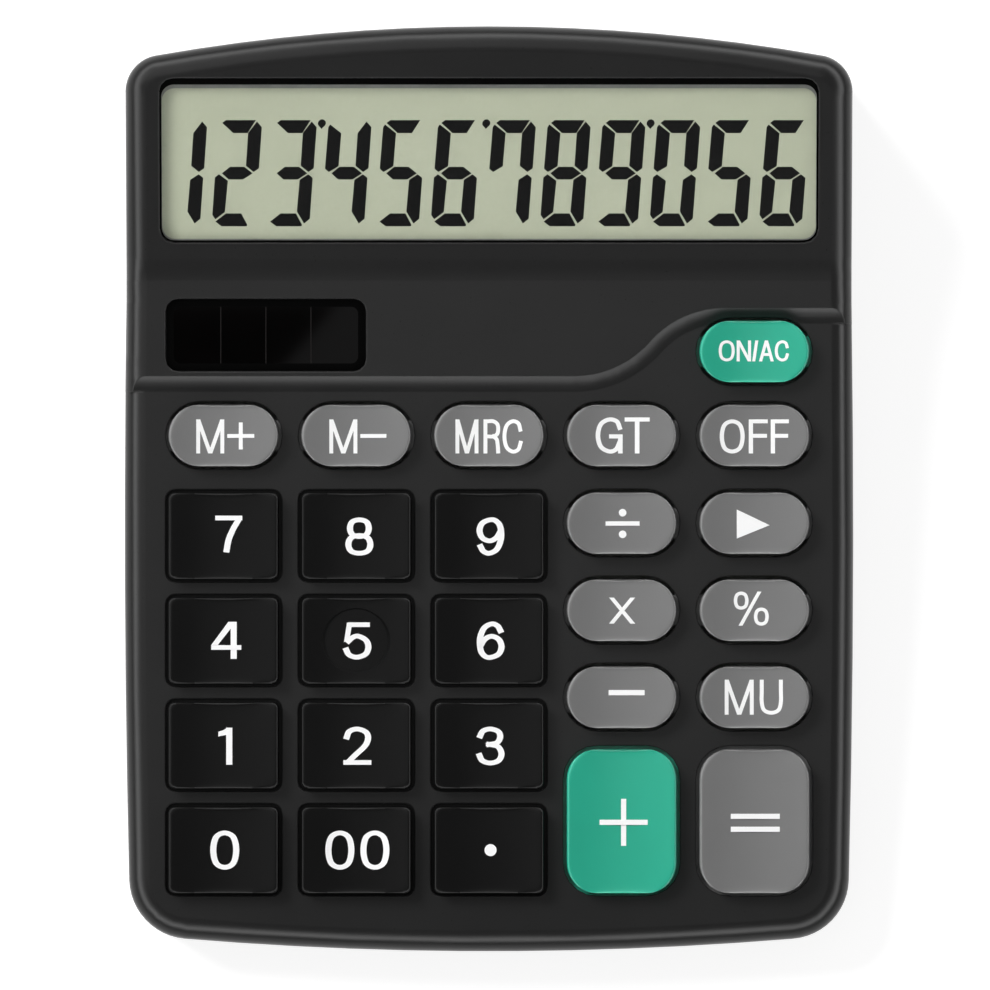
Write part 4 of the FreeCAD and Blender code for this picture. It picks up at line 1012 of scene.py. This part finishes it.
def add_floor():
    """White floor: it keeps the shadow, and what the lamps leave short of white is made up for the camera and
    for mirrors and clear plates alone."""
    made = new_material("studio_floor")
    tree = made.node_tree
    path = add_node(tree, "ShaderNodeLightPath").outputs
    seen = add_node(tree, "ShaderNodeMath", {
        0: path["Is Camera Ray"], 1: path["Is Glossy Ray"]}, operation="ADD")
    shown_to = add_node(tree, "ShaderNodeMath", {0: seen, 1: path["Is Transmission Ray"]}, operation="ADD")
    lift = add_node(tree, "ShaderNodeMath", {0: shown_to, 1: floor_lift}, operation="MULTIPLY")
    paint = add_node(tree, "ShaderNodeBsdfDiffuse", {"Color": linear(floor_paint)})
    glow = add_node(tree, "ShaderNodeEmission", {"Strength": lift})
    both = add_node(tree, "ShaderNodeAddShader", {0: paint, 1: glow})
    add_node(tree, "ShaderNodeOutputMaterial", {"Surface": both})
    bm = bmesh.new()
    bmesh.ops.create_grid(bm, x_segments=1, y_segments=1, size=floor_half)
    mesh = mesh_from(bm, "floor")
    mesh.materials.append(made)
    floor = new_object("floor", mesh)


def set_world():
    """Even soft light; mirrors see a bright band low down all round, which draws the highlight on rounded
    edges, and a dark ceiling, so flat tops stay deep."""
    world = bpy.data.worlds.new("studio")
    bpy.context.scene.world = world
    world.use_nodes = True
    tree = world.node_tree
    tree.nodes.clear()
    path = add_node(tree, "ShaderNodeLightPath").outputs
    way = add_node(tree, "ShaderNodeSeparateXYZ", {
        "Vector": add_node(tree, "ShaderNodeTexCoord").outputs["Generated"]})
    rise = add_node(tree, "ShaderNodeMapRange", {
        "Value": way.outputs["Z"], "From Min": band_rise[0], "From Max": band_rise[1],
        "To Min": band_foot, "To Max": band_level})
    fall = add_node(tree, "ShaderNodeMapRange", {
        "Value": way.outputs["Z"], "From Min": band_fall[0], "From Max": band_fall[1],
        "To Min": 1.0, "To Max": band_end})
    band = add_node(tree, "ShaderNodeMath", {0: rise, 1: fall}, operation="MULTIPLY")
    soft = add_node(tree, "ShaderNodeMix", {
        "Factor": path["Is Glossy Ray"], 2: world_level, 3: band}, data_type="FLOAT")
    level = add_node(tree, "ShaderNodeMix", {
        "Factor": path["Is Camera Ray"], 2: soft, 3: 1.0}, data_type="FLOAT")
    light = add_node(tree, "ShaderNodeBackground", {"Color": linear("#FFFFFF"), "Strength": level})
    add_node(tree, "ShaderNodeOutputWorld", {"Surface": light})


def add_card(name, corners, strength):
    """A card that only mirrors see."""
    made = new_material(name)
    tree = made.node_tree
    glow = add_node(tree, "ShaderNodeEmission", {"Strength": strength})
    add_node(tree, "ShaderNodeOutputMaterial", {"Surface": glow})
    mesh = bpy.data.meshes.new(name)
    mesh.from_pydata(corners, [], [range(len(corners))])
    mesh.materials.append(made)
    card = new_object(name, mesh)
    card.visible_camera = False
    card.visible_diffuse = False
    card.visible_shadow = False
    card.visible_transmission = False


def mirrored_card(name, place, outline, level, tilt, strength):
    """A card placed so that its outline shows, mirrored, at the given place on a flat window tilted from the
    camera's line."""
    away = Vector((0, -math.sin(tilt), math.cos(tilt))) * card_distance
    spread = 1 + card_distance / (picture_width / sensor * lens)
    corners = []
    for x, y in outline:
        wide = picture_x + (x - picture_x) * spread
        corners.append(place @ (Vector((wide, y, level)) + away))
    add_card(name, corners, strength)


set_camera()
add_floor()
set_world()
add_lamp("key_lamp", key_place_above, key_size, key_power)
add_card("ceiling_card", ceiling_corners, ceiling_level)
mirrored_card("display_glare", head, display_glare, plate_top, head_slope, glare_level)
mirrored_card("solar_shade", deck, solar_shade, solar_plate_top, 0, 0.0)
bpy.context.scene.view_settings.view_transform = "Standard"
